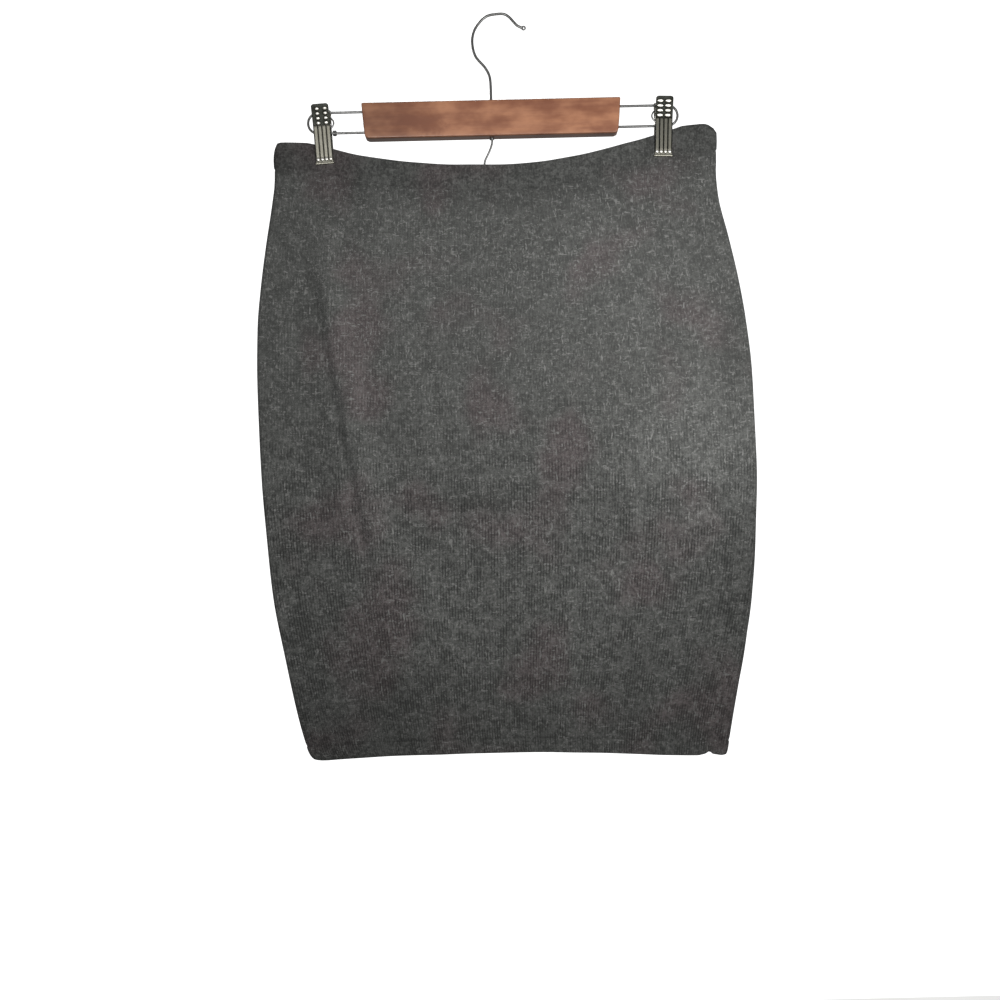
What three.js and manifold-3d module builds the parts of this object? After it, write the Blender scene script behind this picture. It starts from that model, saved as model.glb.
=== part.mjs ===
// Knitted pencil skirt hanging from a wooden bar hanger with two sliding clips.
// Millimetres, +Z up, the skirt's front towards -Y, its left side in the front view at -X.
// The origin is the highest point inside the hook's bend, where a rail carries the hanger.
import * as THREE from 'three';
import * as BufferGeometryUtils from 'three/addons/utils/BufferGeometryUtils.js';
import Module from 'manifold-3d';

const wasm = await Module();
wasm.setup();

// Cloth: a brushed marl knit, single in the panels, double in the waistband and the hem.
const CLOTH_WALL = 2.2;
const BAND_WALL = 3.0;
const BAND_PROUD = 0.8;
const BAND_HEIGHT = 25.5;
const HEM_WALL = 3.1;
const HEM_TURNING = 13;
const HEM_STEP = 1.2;
const FOLD_RADIUS = 4.6;
const SEAM_GAP = 0.6;
const SEAM_DRIFT = 12;
const SEAM_DRIFT_START = 430;
const HEM_DEPTH = 722;

// How the hanging tube's half depth falls from its middle to its side folds, and where folds start.
const SWELL_POWER = 1.5;
const FOLD_SET_IN = 40;
const FOLD_FADE_TOP = 0.25;
const FOLD_FADE_LOW = 0.3;
const CREASE_FADE = 60;
const NORMAL_REACH = 1.2;

// Clips: two ribbed steel plates each, which hold the cloth between them.
const CLIP_WIDTH = 16.9;
const CLIP_HEIGHT = 56.5;
const CLIP_BOTTOM = 141.9;
const PLATE = 1.0;
const GRIP_HALF_DEPTH = 3.15;
const JAW_HALF_DEPTH = 3.45;
const FLAT_MARGIN = 3.2;
const PINCH_REACH = 31;
const PINCH_START = 8;
const PINCH_DROP = 150;
const CLIPS = [
  { name: 'left', x: -170.6, lean: -3.3, frameEnd: -186.6, barEnd: -134.0 },
  { name: 'right', x: 157.6, lean: 2.0, frameEnd: 172.8, barEnd: 117.2 },
];

// Hanger: the wooden bar and its steel wires. Depths are measured down from the origin.
const BAR_TOP = 83.9;
const BAR_HEIGHT = 35;
const BAR_THICKNESS = 15;
const BAR_END_SLANT = 2.6;
const BAR_CORNER = 4.5;
const BAR_BEVEL = 1.4;
const FRAME_WIRE = 2.4;
const FRAME_CENTRE = 101.2;
const FRAME_HALF_HEIGHT = 10;
const FRAME_SET_IN = 12;
const SPRING_WIRE = 1.5;
const SPRING_INWARD = 11.2;
const SPRING_OUTWARD = 7.4;
const SPRING_HALF_HEIGHT = 7.4;
const HOOK_WIRE = 2.6;
const LOWER_HOOK_WIRE = 2.0;
const HOOK_X = -8.2;
const BORE_GAP = 0.38;

// Side edges of the hanging skirt, by depth below the origin.
const SIDES = [
  { depth: 111.2, left: -217.0, right: 198.0 },
  { depth: 113, left: -217.0, right: 203.4 },
  { depth: 115.5, left: -217.0, right: 206.6 },
  { depth: 119.8, left: -213, right: 209.4 },
  { depth: 121.2, left: -216.9, right: 209.5 },
  { depth: 124, left: -218.1, right: 209.4 },
  { depth: 132, left: -219.7, right: 209.6 },
  { depth: 143, left: -220.3, right: 209.8 },
  { depth: 158, left: -220.7, right: 209.2 },
  { depth: 180, left: -223.7, right: 210.8 },
  { depth: 220, left: -230.6, right: 219.9 },
  { depth: 260, left: -236.5, right: 228.5 },
  { depth: 300, left: -240.6, right: 234.9 },
  { depth: 350, left: -242.0, right: 239.9 },
  { depth: 400, left: -241.3, right: 241.5 },
  { depth: 450, left: -239.8, right: 242.6 },
  { depth: 500, left: -236.5, right: 240.4 },
  { depth: 560, left: -231.4, right: 235.8 },
  { depth: 620, left: -221.0, right: 226.7 },
  { depth: 680, left: -209.0, right: 214.7 },
  { depth: 706, left: -202.0, right: 209.9 },
  { depth: 713, left: -199.4, right: 208.6 },
  { depth: 718, left: -195.8, right: 207.7 },
  { depth: 722, left: -189.0, right: 206.4 },
  { depth: 725.5, left: -186.0, right: 203.5 },
];

// Waist edge, sagging between the clips, and hem edge, by their distance across.
const WAIST_EDGE = [
  { across: -218, depth: 119.9 },
  { across: -194, depth: 120.4 },
  { across: -183, depth: 121.9 },
  { across: -163, depth: 126.9 },
  { across: -132, depth: 135.6 },
  { across: -86, depth: 142.9 },
  { across: -39, depth: 146.7 },
  { across: 0, depth: 147.5 },
  { across: 38, depth: 145.4 },
  { across: 70, depth: 140.7 },
  { across: 101, depth: 134.1 },
  { across: 132, depth: 125.6 },
  { across: 150, depth: 120.1 },
  { across: 171, depth: 114.9 },
  { across: 185, depth: 112.2 },
  { across: 210, depth: 111.0 },
];
const HEM_EDGE = [
  { across: -190, depth: 720.4 },
  { across: -155, depth: 718.5 },
  { across: -110, depth: 716.9 },
  { across: -40, depth: 715.5 },
  { across: 10, depth: 715.3 },
  { across: 60, depth: 716.7 },
  { across: 110, depth: 719.5 },
  { across: 150, depth: 722.2 },
  { across: 180, depth: 723.5 },
  { across: 187, depth: 722.2 },
  { across: 191, depth: 720.0 },
  { across: 195.5, depth: 722.4 },
  { across: 206, depth: 724.0 },
];

// Half the depth of the hanging tube at its middle, front to back.
const BULGE = [
  { depth: 109, half: 9.5 },
  { depth: 150, half: 10.5 },
  { depth: 240, half: 13 },
  { depth: 400, half: 15 },
  { depth: 600, half: 14 },
  { depth: 726, half: 12.5 },
];

// Long soft folds: a crest through three places, its half width, and its height out of the cloth.
const FRONT = -1;
const BACK = 1;
const FOLDS = [
  { side: FRONT, topX: -164, top: 168, midX: -151, mid: 400, lowX: -104, low: 625, width: 17, height: 3.4 },
  { side: FRONT, topX: -192, top: 190, midX: -184, mid: 400, lowX: -160, low: 640, width: 13, height: -1.6 },
  { side: FRONT, topX: -112, top: 215, midX: -62, mid: 430, lowX: -12, low: 640, width: 19, height: 1.7 },
  { side: FRONT, topX: 146, top: 165, midX: 132, mid: 380, lowX: 118, low: 600, width: 22, height: 1.8 },
  { side: FRONT, topX: 178, top: 180, midX: 196, mid: 400, lowX: 176, low: 650, width: 18, height: 1.5 },
  { side: FRONT, topX: -150, top: 560, midX: -120, mid: 650, lowX: -112, low: 760, width: 24, height: -1.3 },
  { side: FRONT, topX: 70, top: 540, midX: 62, mid: 640, lowX: 66, low: 770, width: 30, height: 1.5 },
  { side: BACK, topX: -160, top: 170, midX: -140, mid: 390, lowX: -96, low: 600, width: 19, height: 3.0 },
  { side: BACK, topX: -196, top: 200, midX: -186, mid: 420, lowX: -158, low: 660, width: 14, height: -1.5 },
  { side: BACK, topX: 150, top: 165, midX: 126, mid: 400, lowX: 88, low: 640, width: 20, height: 2.6 },
  { side: BACK, topX: 40, top: 230, midX: 30, mid: 430, lowX: 34, low: 640, width: 26, height: 1.4 },
  { side: BACK, topX: -40, top: 520, midX: -48, mid: 640, lowX: -44, low: 770, width: 28, height: -1.5 },
];

// Storage creases that run across the cloth.
const CREASES = [
  { side: FRONT, left: -150, right: 90, depth: 474, slope: -0.012, width: 11, height: -1.3 },
  { side: BACK, left: -120, right: 130, depth: 478, slope: 0.015, width: 12, height: -1.2 },
];

// Wire routes in the plane of the hanger: distance across and height above the origin.
const HOOK_ROUTE = [
  { x: HOOK_X, z: -98 },
  { x: HOOK_X, z: -82 },
  { x: -8.3, z: -68 },
  { x: -9.4, z: -58.5 },
  { x: -13.6, z: -50.2 },
  { x: -22.2, z: -39.6 },
  { x: -25.2, z: -27.5 },
  { x: -23.8, z: -16.4 },
  { x: -18.4, z: -7.4 },
  { x: -10.4, z: -0.6 },
  { x: 0.0, z: 1.3 },
  { x: 6.8, z: 0.8 },
  { x: 11.6, z: -2.4 },
  { x: 15.3, z: -6.6 },
  { x: 18.9, z: -10.4 },
  { x: 23.4, z: -12.7 },
];
const LOWER_HOOK_ROUTE = [
  { x: HOOK_X, z: -104 },
  { x: HOOK_X, z: -114 },
  { x: HOOK_X, z: -124 },
  { x: -10.4, z: -131 },
  { x: -13.0, z: -136.4 },
  { x: -15.2, z: -141 },
  { x: -16.0, z: -146.4 },
  { x: -14.2, z: -152 },
  { x: -9.6, z: -155.6 },
  { x: -3.0, z: -155 },
  { x: 0.6, z: -150.8 },
];

const MATERIALS = {
  cloth: { color: 0x535251, roughness: 0.95, metalness: 0 },
  band: { color: 0x4b4a4a, roughness: 0.95, metalness: 0 },
  wood: { color: 0x9c6549, roughness: 0.45, metalness: 0 },
  steel: { color: 0x8b8a84, roughness: 0.3, metalness: 1 },
};

// Smooth step from 0 at low to 1 at high.
function ramp(low, high, value) {
  const t = Math.min(1, Math.max(0, (value - low) / (high - low)));
  return t * t * (3 - 2 * t);
}

// Cubic interpolation of one column of a table by another, with slopes kept inside its steps.
function lookUp(table, keyName, valueName, key) {
  const count = table.length;
  if (key <= table[0][keyName]) {
    return table[0][valueName];
  }
  if (key >= table[count - 1][keyName]) {
    return table[count - 1][valueName];
  }
  let row = 0;
  while (table[row + 1][keyName] < key) {
    row += 1;
  }
  const slopeOf = (i) => {
    const low = table[i];
    const high = table[i + 1];
    return (high[valueName] - low[valueName]) / (high[keyName] - low[keyName]);
  };
  const tangentAt = (i) => {
    if (i === 0 || i === count - 1) {
      return slopeOf(i === 0 ? 0 : count - 2);
    }
    const before = slopeOf(i - 1);
    const after = slopeOf(i);
    return before * after <= 0 ? 0 : (2 * before * after) / (before + after);
  };
  const step = table[row + 1][keyName] - table[row][keyName];
  const t = (key - table[row][keyName]) / step;
  const squared = t * t;
  const cubed = squared * t;
  return (2 * cubed - 3 * squared + 1) * table[row][valueName]
    + (cubed - 2 * squared + t) * step * tangentAt(row)
    + (3 * squared - 2 * cubed) * table[row + 1][valueName]
    + (cubed - squared) * step * tangentAt(row + 1);
}

// How far the folds and creases of one side lift the cloth at a place.
function foldLift(side, x, depth) {
  let lift = 0;
  for (const fold of FOLDS) {
    if (fold.side !== side || depth <= fold.top || depth >= fold.low) {
      continue;
    }
    const t = (depth - fold.top) / (fold.low - fold.top);
    const middle = (fold.mid - fold.top) / (fold.low - fold.top);
    const drift = fold.lowX - fold.topX;
    const bend = (fold.midX - fold.topX - drift * middle) / (middle * (1 - middle));
    const crest = fold.topX + drift * t + bend * t * (1 - t);
    const fade = ramp(0, FOLD_FADE_TOP, t) * ramp(0, FOLD_FADE_LOW, 1 - t);
    lift += fold.height * fade * Math.exp(-(((x - crest) / fold.width) ** 2));
  }
  for (const crease of CREASES) {
    if (crease.side !== side) {
      continue;
    }
    const centre = crease.depth + crease.slope * x;
    const fadeLeft = ramp(crease.left, crease.left + CREASE_FADE, x);
    const fadeRight = ramp(-crease.right, CREASE_FADE - crease.right, -x);
    lift += crease.height * fadeLeft * fadeRight * Math.exp(-(((depth - centre) / crease.width) ** 2));
  }
  return lift;
}

// Half depth of the cloth's outside: side fold, bulge and folds, pressed flat at the clips.
function halfDepth(side, x, depth, left, right) {
  const halfFlat = (right - left) / 2 - FOLD_RADIUS;
  const t = Math.min(1, Math.abs(x - (left + right) / 2) / halfFlat);
  const swell = (1 - t * t) ** SWELL_POWER;
  const inside = ramp(0, FOLD_SET_IN, halfFlat * (1 - t));
  let half = FOLD_RADIUS + (lookUp(BULGE, 'depth', 'half', depth) - FOLD_RADIUS) * swell;
  half += foldLift(side, x, depth) * inside;
  const clothAtClip = GRIP_HALF_DEPTH - BAND_PROUD;
  for (const clip of CLIPS) {
    const flatReach = CLIP_WIDTH / 2 + FLAT_MARGIN;
    const near = 1 - ramp(flatReach, flatReach + PINCH_REACH, Math.abs(x - clip.x));
    const high = 1 - ramp(CLIP_BOTTOM + PINCH_START, CLIP_BOTTOM + PINCH_DROP, depth);
    half += (clothAtClip - half) * near * high;
  }
  return half;
}

// A place on the cloth's outside. Round goes 0 to 1 over the front, left to right, and 1 to 2 back.
function clothPoint(round, depth) {
  const side = round <= 1 ? FRONT : BACK;
  const left = lookUp(SIDES, 'depth', 'left', depth);
  const right = lookUp(SIDES, 'depth', 'right', depth);
  const quarter = (Math.PI * FOLD_RADIUS) / 2;
  const flat = right - left - 2 * FOLD_RADIUS;
  const distance = (round <= 1 ? round : 2 - round) * (flat + 2 * quarter);
  if (distance < quarter) {
    const angle = distance / FOLD_RADIUS;
    const x = left + FOLD_RADIUS * (1 - Math.cos(angle));
    return new THREE.Vector3(x, side * FOLD_RADIUS * Math.sin(angle), -depth);
  }
  if (distance > flat + quarter) {
    const angle = (flat + 2 * quarter - distance) / FOLD_RADIUS;
    const x = right - FOLD_RADIUS * (1 - Math.cos(angle));
    return new THREE.Vector3(x, side * FOLD_RADIUS * Math.sin(angle), -depth);
  }
  const x = left + FOLD_RADIUS + distance - quarter;
  return new THREE.Vector3(x, side * halfDepth(side, x, depth, left, right), -depth);
}

// The share of the half way round that a length takes at a depth.
function shareOf(length, depth) {
  const width = lookUp(SIDES, 'depth', 'right', depth) - lookUp(SIDES, 'depth', 'left', depth);
  return length / (width + (Math.PI - 2) * FOLD_RADIUS);
}

// Moves a place on the cloth out along the cloth's normal, or in where out is negative.
function offsetPoint(round, depth, out) {
  const place = clothPoint(round, depth);
  const reach = shareOf(NORMAL_REACH, depth);
  const around = (value) => (value + 2) % 2;
  const after = clothPoint(around(round + reach), depth);
  const across = after.sub(clothPoint(around(round - reach), depth));
  const down = clothPoint(round, depth + NORMAL_REACH).sub(clothPoint(round, depth - NORMAL_REACH));
  const normal = new THREE.Vector3().crossVectors(down, across).normalize();
  return place.addScaledVector(normal, out);
}

// Depth of the waist edge and of the hem edge where the cloth is that far round.
function edgeDepth(table, round, near) {
  return lookUp(table, 'across', 'depth', clothPoint(round, near).x);
}

// Closed body between two grids of places. A ring's last column joins its first.
function wallBody(outer, inner, ring) {
  const rows = outer.length;
  const columns = outer[0].length;
  const positions = [];
  for (const grid of [outer, inner]) {
    for (const row of grid) {
      for (const place of row) {
        positions.push(place.x, place.y, place.z);
      }
    }
  }
  const out = (row, column) => row * columns + (column % columns);
  const back = (row, column) => rows * columns + out(row, column);
  const index = [];
  const quad = (a, b, c, d) => index.push(a, b, c, a, c, d);
  const lastColumn = ring ? columns : columns - 1;
  const end = rows - 1;
  for (let column = 0; column < lastColumn; column += 1) {
    const next = column + 1;
    for (let row = 0; row < end; row += 1) {
      quad(out(row, column), out(row + 1, column), out(row + 1, next), out(row, next));
      quad(back(row, column), back(row, next), back(row + 1, next), back(row + 1, column));
    }
    quad(out(0, column), out(0, next), back(0, next), back(0, column));
    quad(out(end, column), back(end, column), back(end, next), out(end, next));
  }
  if (!ring) {
    const last = columns - 1;
    for (let row = 0; row < end; row += 1) {
      quad(out(row, 0), back(row, 0), back(row + 1, 0), out(row + 1, 0));
      quad(out(row, last), out(row + 1, last), back(row + 1, last), back(row, last));
    }
  }
  const geometry = new THREE.BufferGeometry();
  geometry.setAttribute('position', new THREE.Float32BufferAttribute(positions, 3));
  geometry.setIndex(index);
  geometry.computeVertexNormals();
  return geometry;
}

// Numbers from 0 to 1 in equal steps.
function steps(count) {
  return Array.from({ length: count + 1 }, (_, i) => i / count);
}

// The right side seam leaves the fold and drifts to the front on its way to the hem.
function rightSeam(depth) {
  return 1 - shareOf(SEAM_DRIFT * ramp(SEAM_DRIFT_START, HEM_DEPTH, depth), depth);
}

// Shares of the flat stretch between the side folds, with a column at both edges of each clip.
function flatShares(marginSteps, clipSteps, middleSteps) {
  const left = lookUp(SIDES, 'depth', 'left', CLIP_BOTTOM) + FOLD_RADIUS;
  const right = lookUp(SIDES, 'depth', 'right', CLIP_BOTTOM) - FOLD_RADIUS;
  const reach = CLIP_WIDTH / 2 + FLAT_MARGIN / 2;
  const stops = [left, ...CLIPS.flatMap((clip) => [clip.x - reach, clip.x + reach]), right];
  const counts = [marginSteps, clipSteps, middleSteps, clipSteps, marginSteps];
  const places = [left];
  counts.forEach((count, i) => {
    places.push(...steps(count).slice(1).map((t) => stops[i] + (stops[i + 1] - stops[i]) * t));
  });
  return places.map((x) => (x - left) / (right - left));
}

const PANEL_SHARES = flatShares(2, 1, 19);
const BAND_SHARES = flatShares(4, 2, 26);
const FOLD_STEPS = 3;
const WRAP_STEPS = 6;

// Values between two ends, at shares from 0 to 1.
function between(from, to, shares) {
  return shares.map((t) => from + (to - from) * t);
}

// Columns of a panel: close together round both side folds, wider between them.
function panelColumns(side, depth) {
  const quarter = shareOf((Math.PI * FOLD_RADIUS) / 2, depth);
  const gap = shareOf(SEAM_GAP / 2, depth);
  const seam = rightSeam(depth);
  if (side === FRONT) {
    const lastFlat = Math.min(seam - gap - quarter / 2, 1 - quarter);
    return [
      ...between(gap, quarter, steps(FOLD_STEPS)),
      ...between(quarter, lastFlat, PANEL_SHARES).slice(1),
      ...between(lastFlat, seam - gap, steps(FOLD_STEPS)).slice(1),
    ];
  }
  return [
    ...between(seam + gap, 1 + quarter, steps(WRAP_STEPS)),
    ...between(2 - quarter, 1 + quarter, PANEL_SHARES).reverse().slice(1),
    ...between(2 - quarter, 2 - gap, steps(FOLD_STEPS)).slice(1),
  ];
}

// One panel, from just below the waistband to the hem, whose turning doubles it inside.
function makePanel(side) {
  const BODY_ROWS = 20;
  const HEM_ROWS = [HEM_TURNING, 6, 2.5, 0];
  const topColumns = panelColumns(side, CLIP_BOTTOM + BAND_HEIGHT);
  const hemColumns = panelColumns(side, HEM_DEPTH);
  const tops = topColumns.map((round) => {
    return edgeDepth(WAIST_EDGE, round, CLIP_BOTTOM) + BAND_HEIGHT + SEAM_GAP;
  });
  const bottoms = hemColumns.map((round) => edgeDepth(HEM_EDGE, round, HEM_DEPTH - HEM_TURNING));
  const columns = tops.map((top, column) => {
    const bottom = bottoms[column];
    const turned = bottom - HEM_TURNING - HEM_STEP;
    const bodyDepths = between(top, turned, steps(BODY_ROWS));
    const body = bodyDepths.map((depth) => ({ depth, wall: CLOTH_WALL }));
    const hem = HEM_ROWS.map((above) => ({ depth: bottom - above, wall: HEM_WALL }));
    return [...body, ...hem];
  });
  const grid = (out) => columns[0].map((_, row) => columns.map((places, column) => {
    const { depth, wall } = places[row];
    return offsetPoint(panelColumns(side, depth)[column], depth, out * wall);
  }));
  return wallBody(grid(0), grid(-1), false);
}

// The waistband: one folded strip all the way round, a little proud of the panels.
function makeWaistband() {
  const BAND_ROWS = [0, 0.06, 0.16, 0.5, 1];
  const quarter = shareOf((Math.PI * FOLD_RADIUS) / 2, CLIP_BOTTOM);
  const half = [
    ...between(0, quarter, steps(FOLD_STEPS)),
    ...between(quarter, 1 - quarter, BAND_SHARES).slice(1),
    ...between(1 - quarter, 1, steps(FOLD_STEPS)).slice(1),
  ];
  const rounds = [...half, ...half.slice(1, -1).map((round) => 2 - round).reverse()];
  const outer = [];
  const inner = [];
  for (const share of BAND_ROWS) {
    const depthAt = (round) => edgeDepth(WAIST_EDGE, round, CLIP_BOTTOM) + BAND_HEIGHT * share;
    outer.push(rounds.map((round) => offsetPoint(round, depthAt(round), BAND_PROUD)));
    inner.push(rounds.map((round) => offsetPoint(round, depthAt(round), BAND_PROUD - BAND_WALL)));
  }
  return wallBody(outer, inner, true);
}

// A solid for booleans from a closed geometry, and a geometry from such a solid.
function toSolid(geometry) {
  const bare = geometry.clone();
  bare.deleteAttribute('normal');
  bare.deleteAttribute('uv');
  const merged = BufferGeometryUtils.mergeVertices(bare, 1e-4);
  const vertProperties = new Float32Array(merged.attributes.position.array);
  const triVerts = new Uint32Array(merged.index.array);
  return new wasm.Manifold(new wasm.Mesh({ numProp: 3, vertProperties, triVerts }));
}

function toGeometry(solid) {
  const mesh = solid.getMesh();
  const geometry = new THREE.BufferGeometry();
  geometry.setAttribute('position', new THREE.Float32BufferAttribute(mesh.vertProperties, 3));
  geometry.setIndex(new THREE.Uint32BufferAttribute(mesh.triVerts, 1));
  geometry.computeVertexNormals();
  return geometry;
}

function join(geometries) {
  return toGeometry(geometries.map(toSolid).reduce((whole, piece) => whole.add(piece)));
}

// Round wire along a curve.
function makeWire(curve, diameter, stepCount, sides) {
  const ring = steps(sides).slice(1).map((t) => {
    const angle = 2 * Math.PI * t;
    return new THREE.Vector2((diameter / 2) * Math.cos(angle), (diameter / 2) * Math.sin(angle));
  });
  const section = new THREE.Shape(ring);
  return new THREE.ExtrudeGeometry(section, { steps: stepCount, extrudePath: curve });
}

function routeCurve(route) {
  return new THREE.CatmullRomCurve3(route.map((place) => new THREE.Vector3(place.x, 0, place.z)));
}

// The clip frame's wire: in from the bar, round the outer end, and back into the bar.
class FrameCurve extends THREE.Curve {
  constructor(barX, endX) {
    super();
    this.barX = barX;
    this.direction = Math.sign(endX - barX);
    this.straight = Math.abs(endX - barX) - FRAME_HALF_HEIGHT;
  }

  getPoint(t, target = new THREE.Vector3()) {
    const bend = Math.PI * FRAME_HALF_HEIGHT;
    const distance = t * (2 * this.straight + bend);
    if (distance < this.straight) {
      return target.set(this.barX + this.direction * distance, 0, -FRAME_CENTRE - FRAME_HALF_HEIGHT);
    }
    if (distance > this.straight + bend) {
      const back = 2 * this.straight + bend - distance;
      return target.set(this.barX + this.direction * back, 0, -FRAME_CENTRE + FRAME_HALF_HEIGHT);
    }
    const angle = (distance - this.straight) / FRAME_HALF_HEIGHT - Math.PI / 2;
    const x = this.barX + this.direction * (this.straight + FRAME_HALF_HEIGHT * Math.cos(angle));
    return target.set(x, 0, -FRAME_CENTRE + FRAME_HALF_HEIGHT * Math.sin(angle));
  }
}

// The clip's spring: a bow of two half ovals between the frame wires, longer towards the bar,
// and open behind the plates.
class SpringCurve extends THREE.Curve {
  constructor(inward) {
    super();
    this.inward = inward;
  }

  getPoint(t, target = new THREE.Vector3()) {
    const OPEN_ANGLE = 0.1;
    const angle = -Math.PI / 2 + OPEN_ANGLE + t * 2 * (Math.PI - OPEN_ANGLE);
    const along = Math.cos(angle);
    const reach = along * this.inward > 0 ? SPRING_INWARD : SPRING_OUTWARD;
    return target.set(reach * along, 0, SPRING_HALF_HEIGHT * Math.sin(angle));
  }
}

// A geometry made along Z, laid from one place to another.
function layAlong(geometry, from, to) {
  const direction = to.clone().sub(from).normalize();
  const turn = new THREE.Quaternion().setFromUnitVectors(new THREE.Vector3(0, 0, 1), direction);
  return geometry.applyQuaternion(turn).translate(from.x, from.y, from.z);
}

// One clip plate, front one, its bottom middle at the origin: jaw, lever, ribs and bumps.
function makePlate() {
  const BEND_HEIGHT = 36.5;
  const BEND_OUT = 1.3;
  const LEVER_OUT = 6.2;
  const RIB_PITCH = 3.8;
  const RIB_RADIUS = 1.15;
  const RIB_RISE = 0.6;
  const STUD_RADIUS = 1.35;
  const STUD_RISE = 0.9;
  const STUD_HEIGHT = 3.7;
  const BUMP = { halfWidth: 2.9, rise: 0.95, halfHeight: 1.8 };
  const BUMP_ROWS = 4;
  const BUMP_PITCH = 4.6;
  const BUMP_ACROSS = 3.9;
  const LIP = { height: 1.7, thickness: 1.9, past: 0.5, drop: 0.3 };
  const FLANGE_INSET = 0.15;
  const inner = [
    new THREE.Vector2(-JAW_HALF_DEPTH, 0),
    new THREE.Vector2(-JAW_HALF_DEPTH - BEND_OUT, BEND_HEIGHT),
    new THREE.Vector2(-JAW_HALF_DEPTH - BEND_OUT - LEVER_OUT, CLIP_HEIGHT),
  ];
  const outer = inner.map((corner) => new THREE.Vector2(corner.x - PLATE, corner.y)).reverse();
  const profile = new THREE.Shape([...inner, ...outer]);
  const sheet = new THREE.ExtrudeGeometry(profile, { depth: CLIP_WIDTH, bevelEnabled: false });
  // The profile's plane becomes YZ and its depth runs along X.
  const turn = new THREE.Matrix4().makeBasis(
    new THREE.Vector3(0, 1, 0),
    new THREE.Vector3(0, 0, 1),
    new THREE.Vector3(1, 0, 0),
  );
  sheet.applyMatrix4(turn).translate(-CLIP_WIDTH / 2, 0, 0);
  const pieces = [sheet];
  const jawFace = (x, z) => {
    const out = (z / BEND_HEIGHT) * BEND_OUT;
    return new THREE.Vector3(x, -JAW_HALF_DEPTH - PLATE - out, z);
  };
  const leverFace = (x, z) => {
    const out = ((z - BEND_HEIGHT) / (CLIP_HEIGHT - BEND_HEIGHT)) * LEVER_OUT;
    return new THREE.Vector3(x, -JAW_HALF_DEPTH - BEND_OUT - PLATE - out, z);
  };
  const RIB_BOTTOM = 6.2;
  for (let rib = 0; rib < 4; rib += 1) {
    const x = (rib - 1.5) * RIB_PITCH;
    const from = jawFace(x, RIB_BOTTOM);
    const to = jawFace(x, BEND_HEIGHT - 1);
    const length = from.distanceTo(to);
    const round = new THREE.CylinderGeometry(RIB_RADIUS, RIB_RADIUS, length, 6);
    round.rotateX(Math.PI / 2).scale(1, RIB_RISE / RIB_RADIUS, 1).translate(0, 0, length / 2);
    pieces.push(layAlong(round, from, to));
    const stud = new THREE.SphereGeometry(1, 5, 4).scale(STUD_RADIUS, STUD_RISE, STUD_RADIUS);
    pieces.push(stud.translate(x, -JAW_HALF_DEPTH - PLATE, STUD_HEIGHT));
  }
  for (let row = 1; row <= BUMP_ROWS; row += 1) {
    for (const x of [-BUMP_ACROSS, BUMP_ACROSS]) {
      const bump = new THREE.SphereGeometry(1, 7, 3).scale(BUMP.halfWidth, BUMP.rise, BUMP.halfHeight);
      const place = leverFace(x, CLIP_HEIGHT - BUMP_PITCH * row);
      pieces.push(bump.translate(place.x, place.y, place.z));
    }
  }
  const lip = new THREE.BoxGeometry(CLIP_WIDTH + 2 * LIP.past, LIP.thickness, LIP.height);
  pieces.push(lip.translate(0, -JAW_HALF_DEPTH - LIP.thickness / 2, LIP.height / 2 - LIP.drop));
  // Side flanges that stiffen the plate and bear on the lower frame wire.
  const FLANGE_BOTTOM = 28.6;
  const FLANGE_TOP = 40;
  const flangeBack = -FRAME_WIRE / 2 - BORE_GAP;
  const flangeDepth = JAW_HALF_DEPTH + BEND_OUT + PLATE / 2 + flangeBack;
  for (const side of [-1, 1]) {
    const flange = new THREE.BoxGeometry(PLATE, flangeDepth, FLANGE_TOP - FLANGE_BOTTOM);
    const x = side * (CLIP_WIDTH / 2 - PLATE / 2 - FLANGE_INSET);
    pieces.push(flange.translate(x, flangeBack - flangeDepth / 2, (FLANGE_TOP + FLANGE_BOTTOM) / 2));
  }
  return join(pieces);
}

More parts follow.
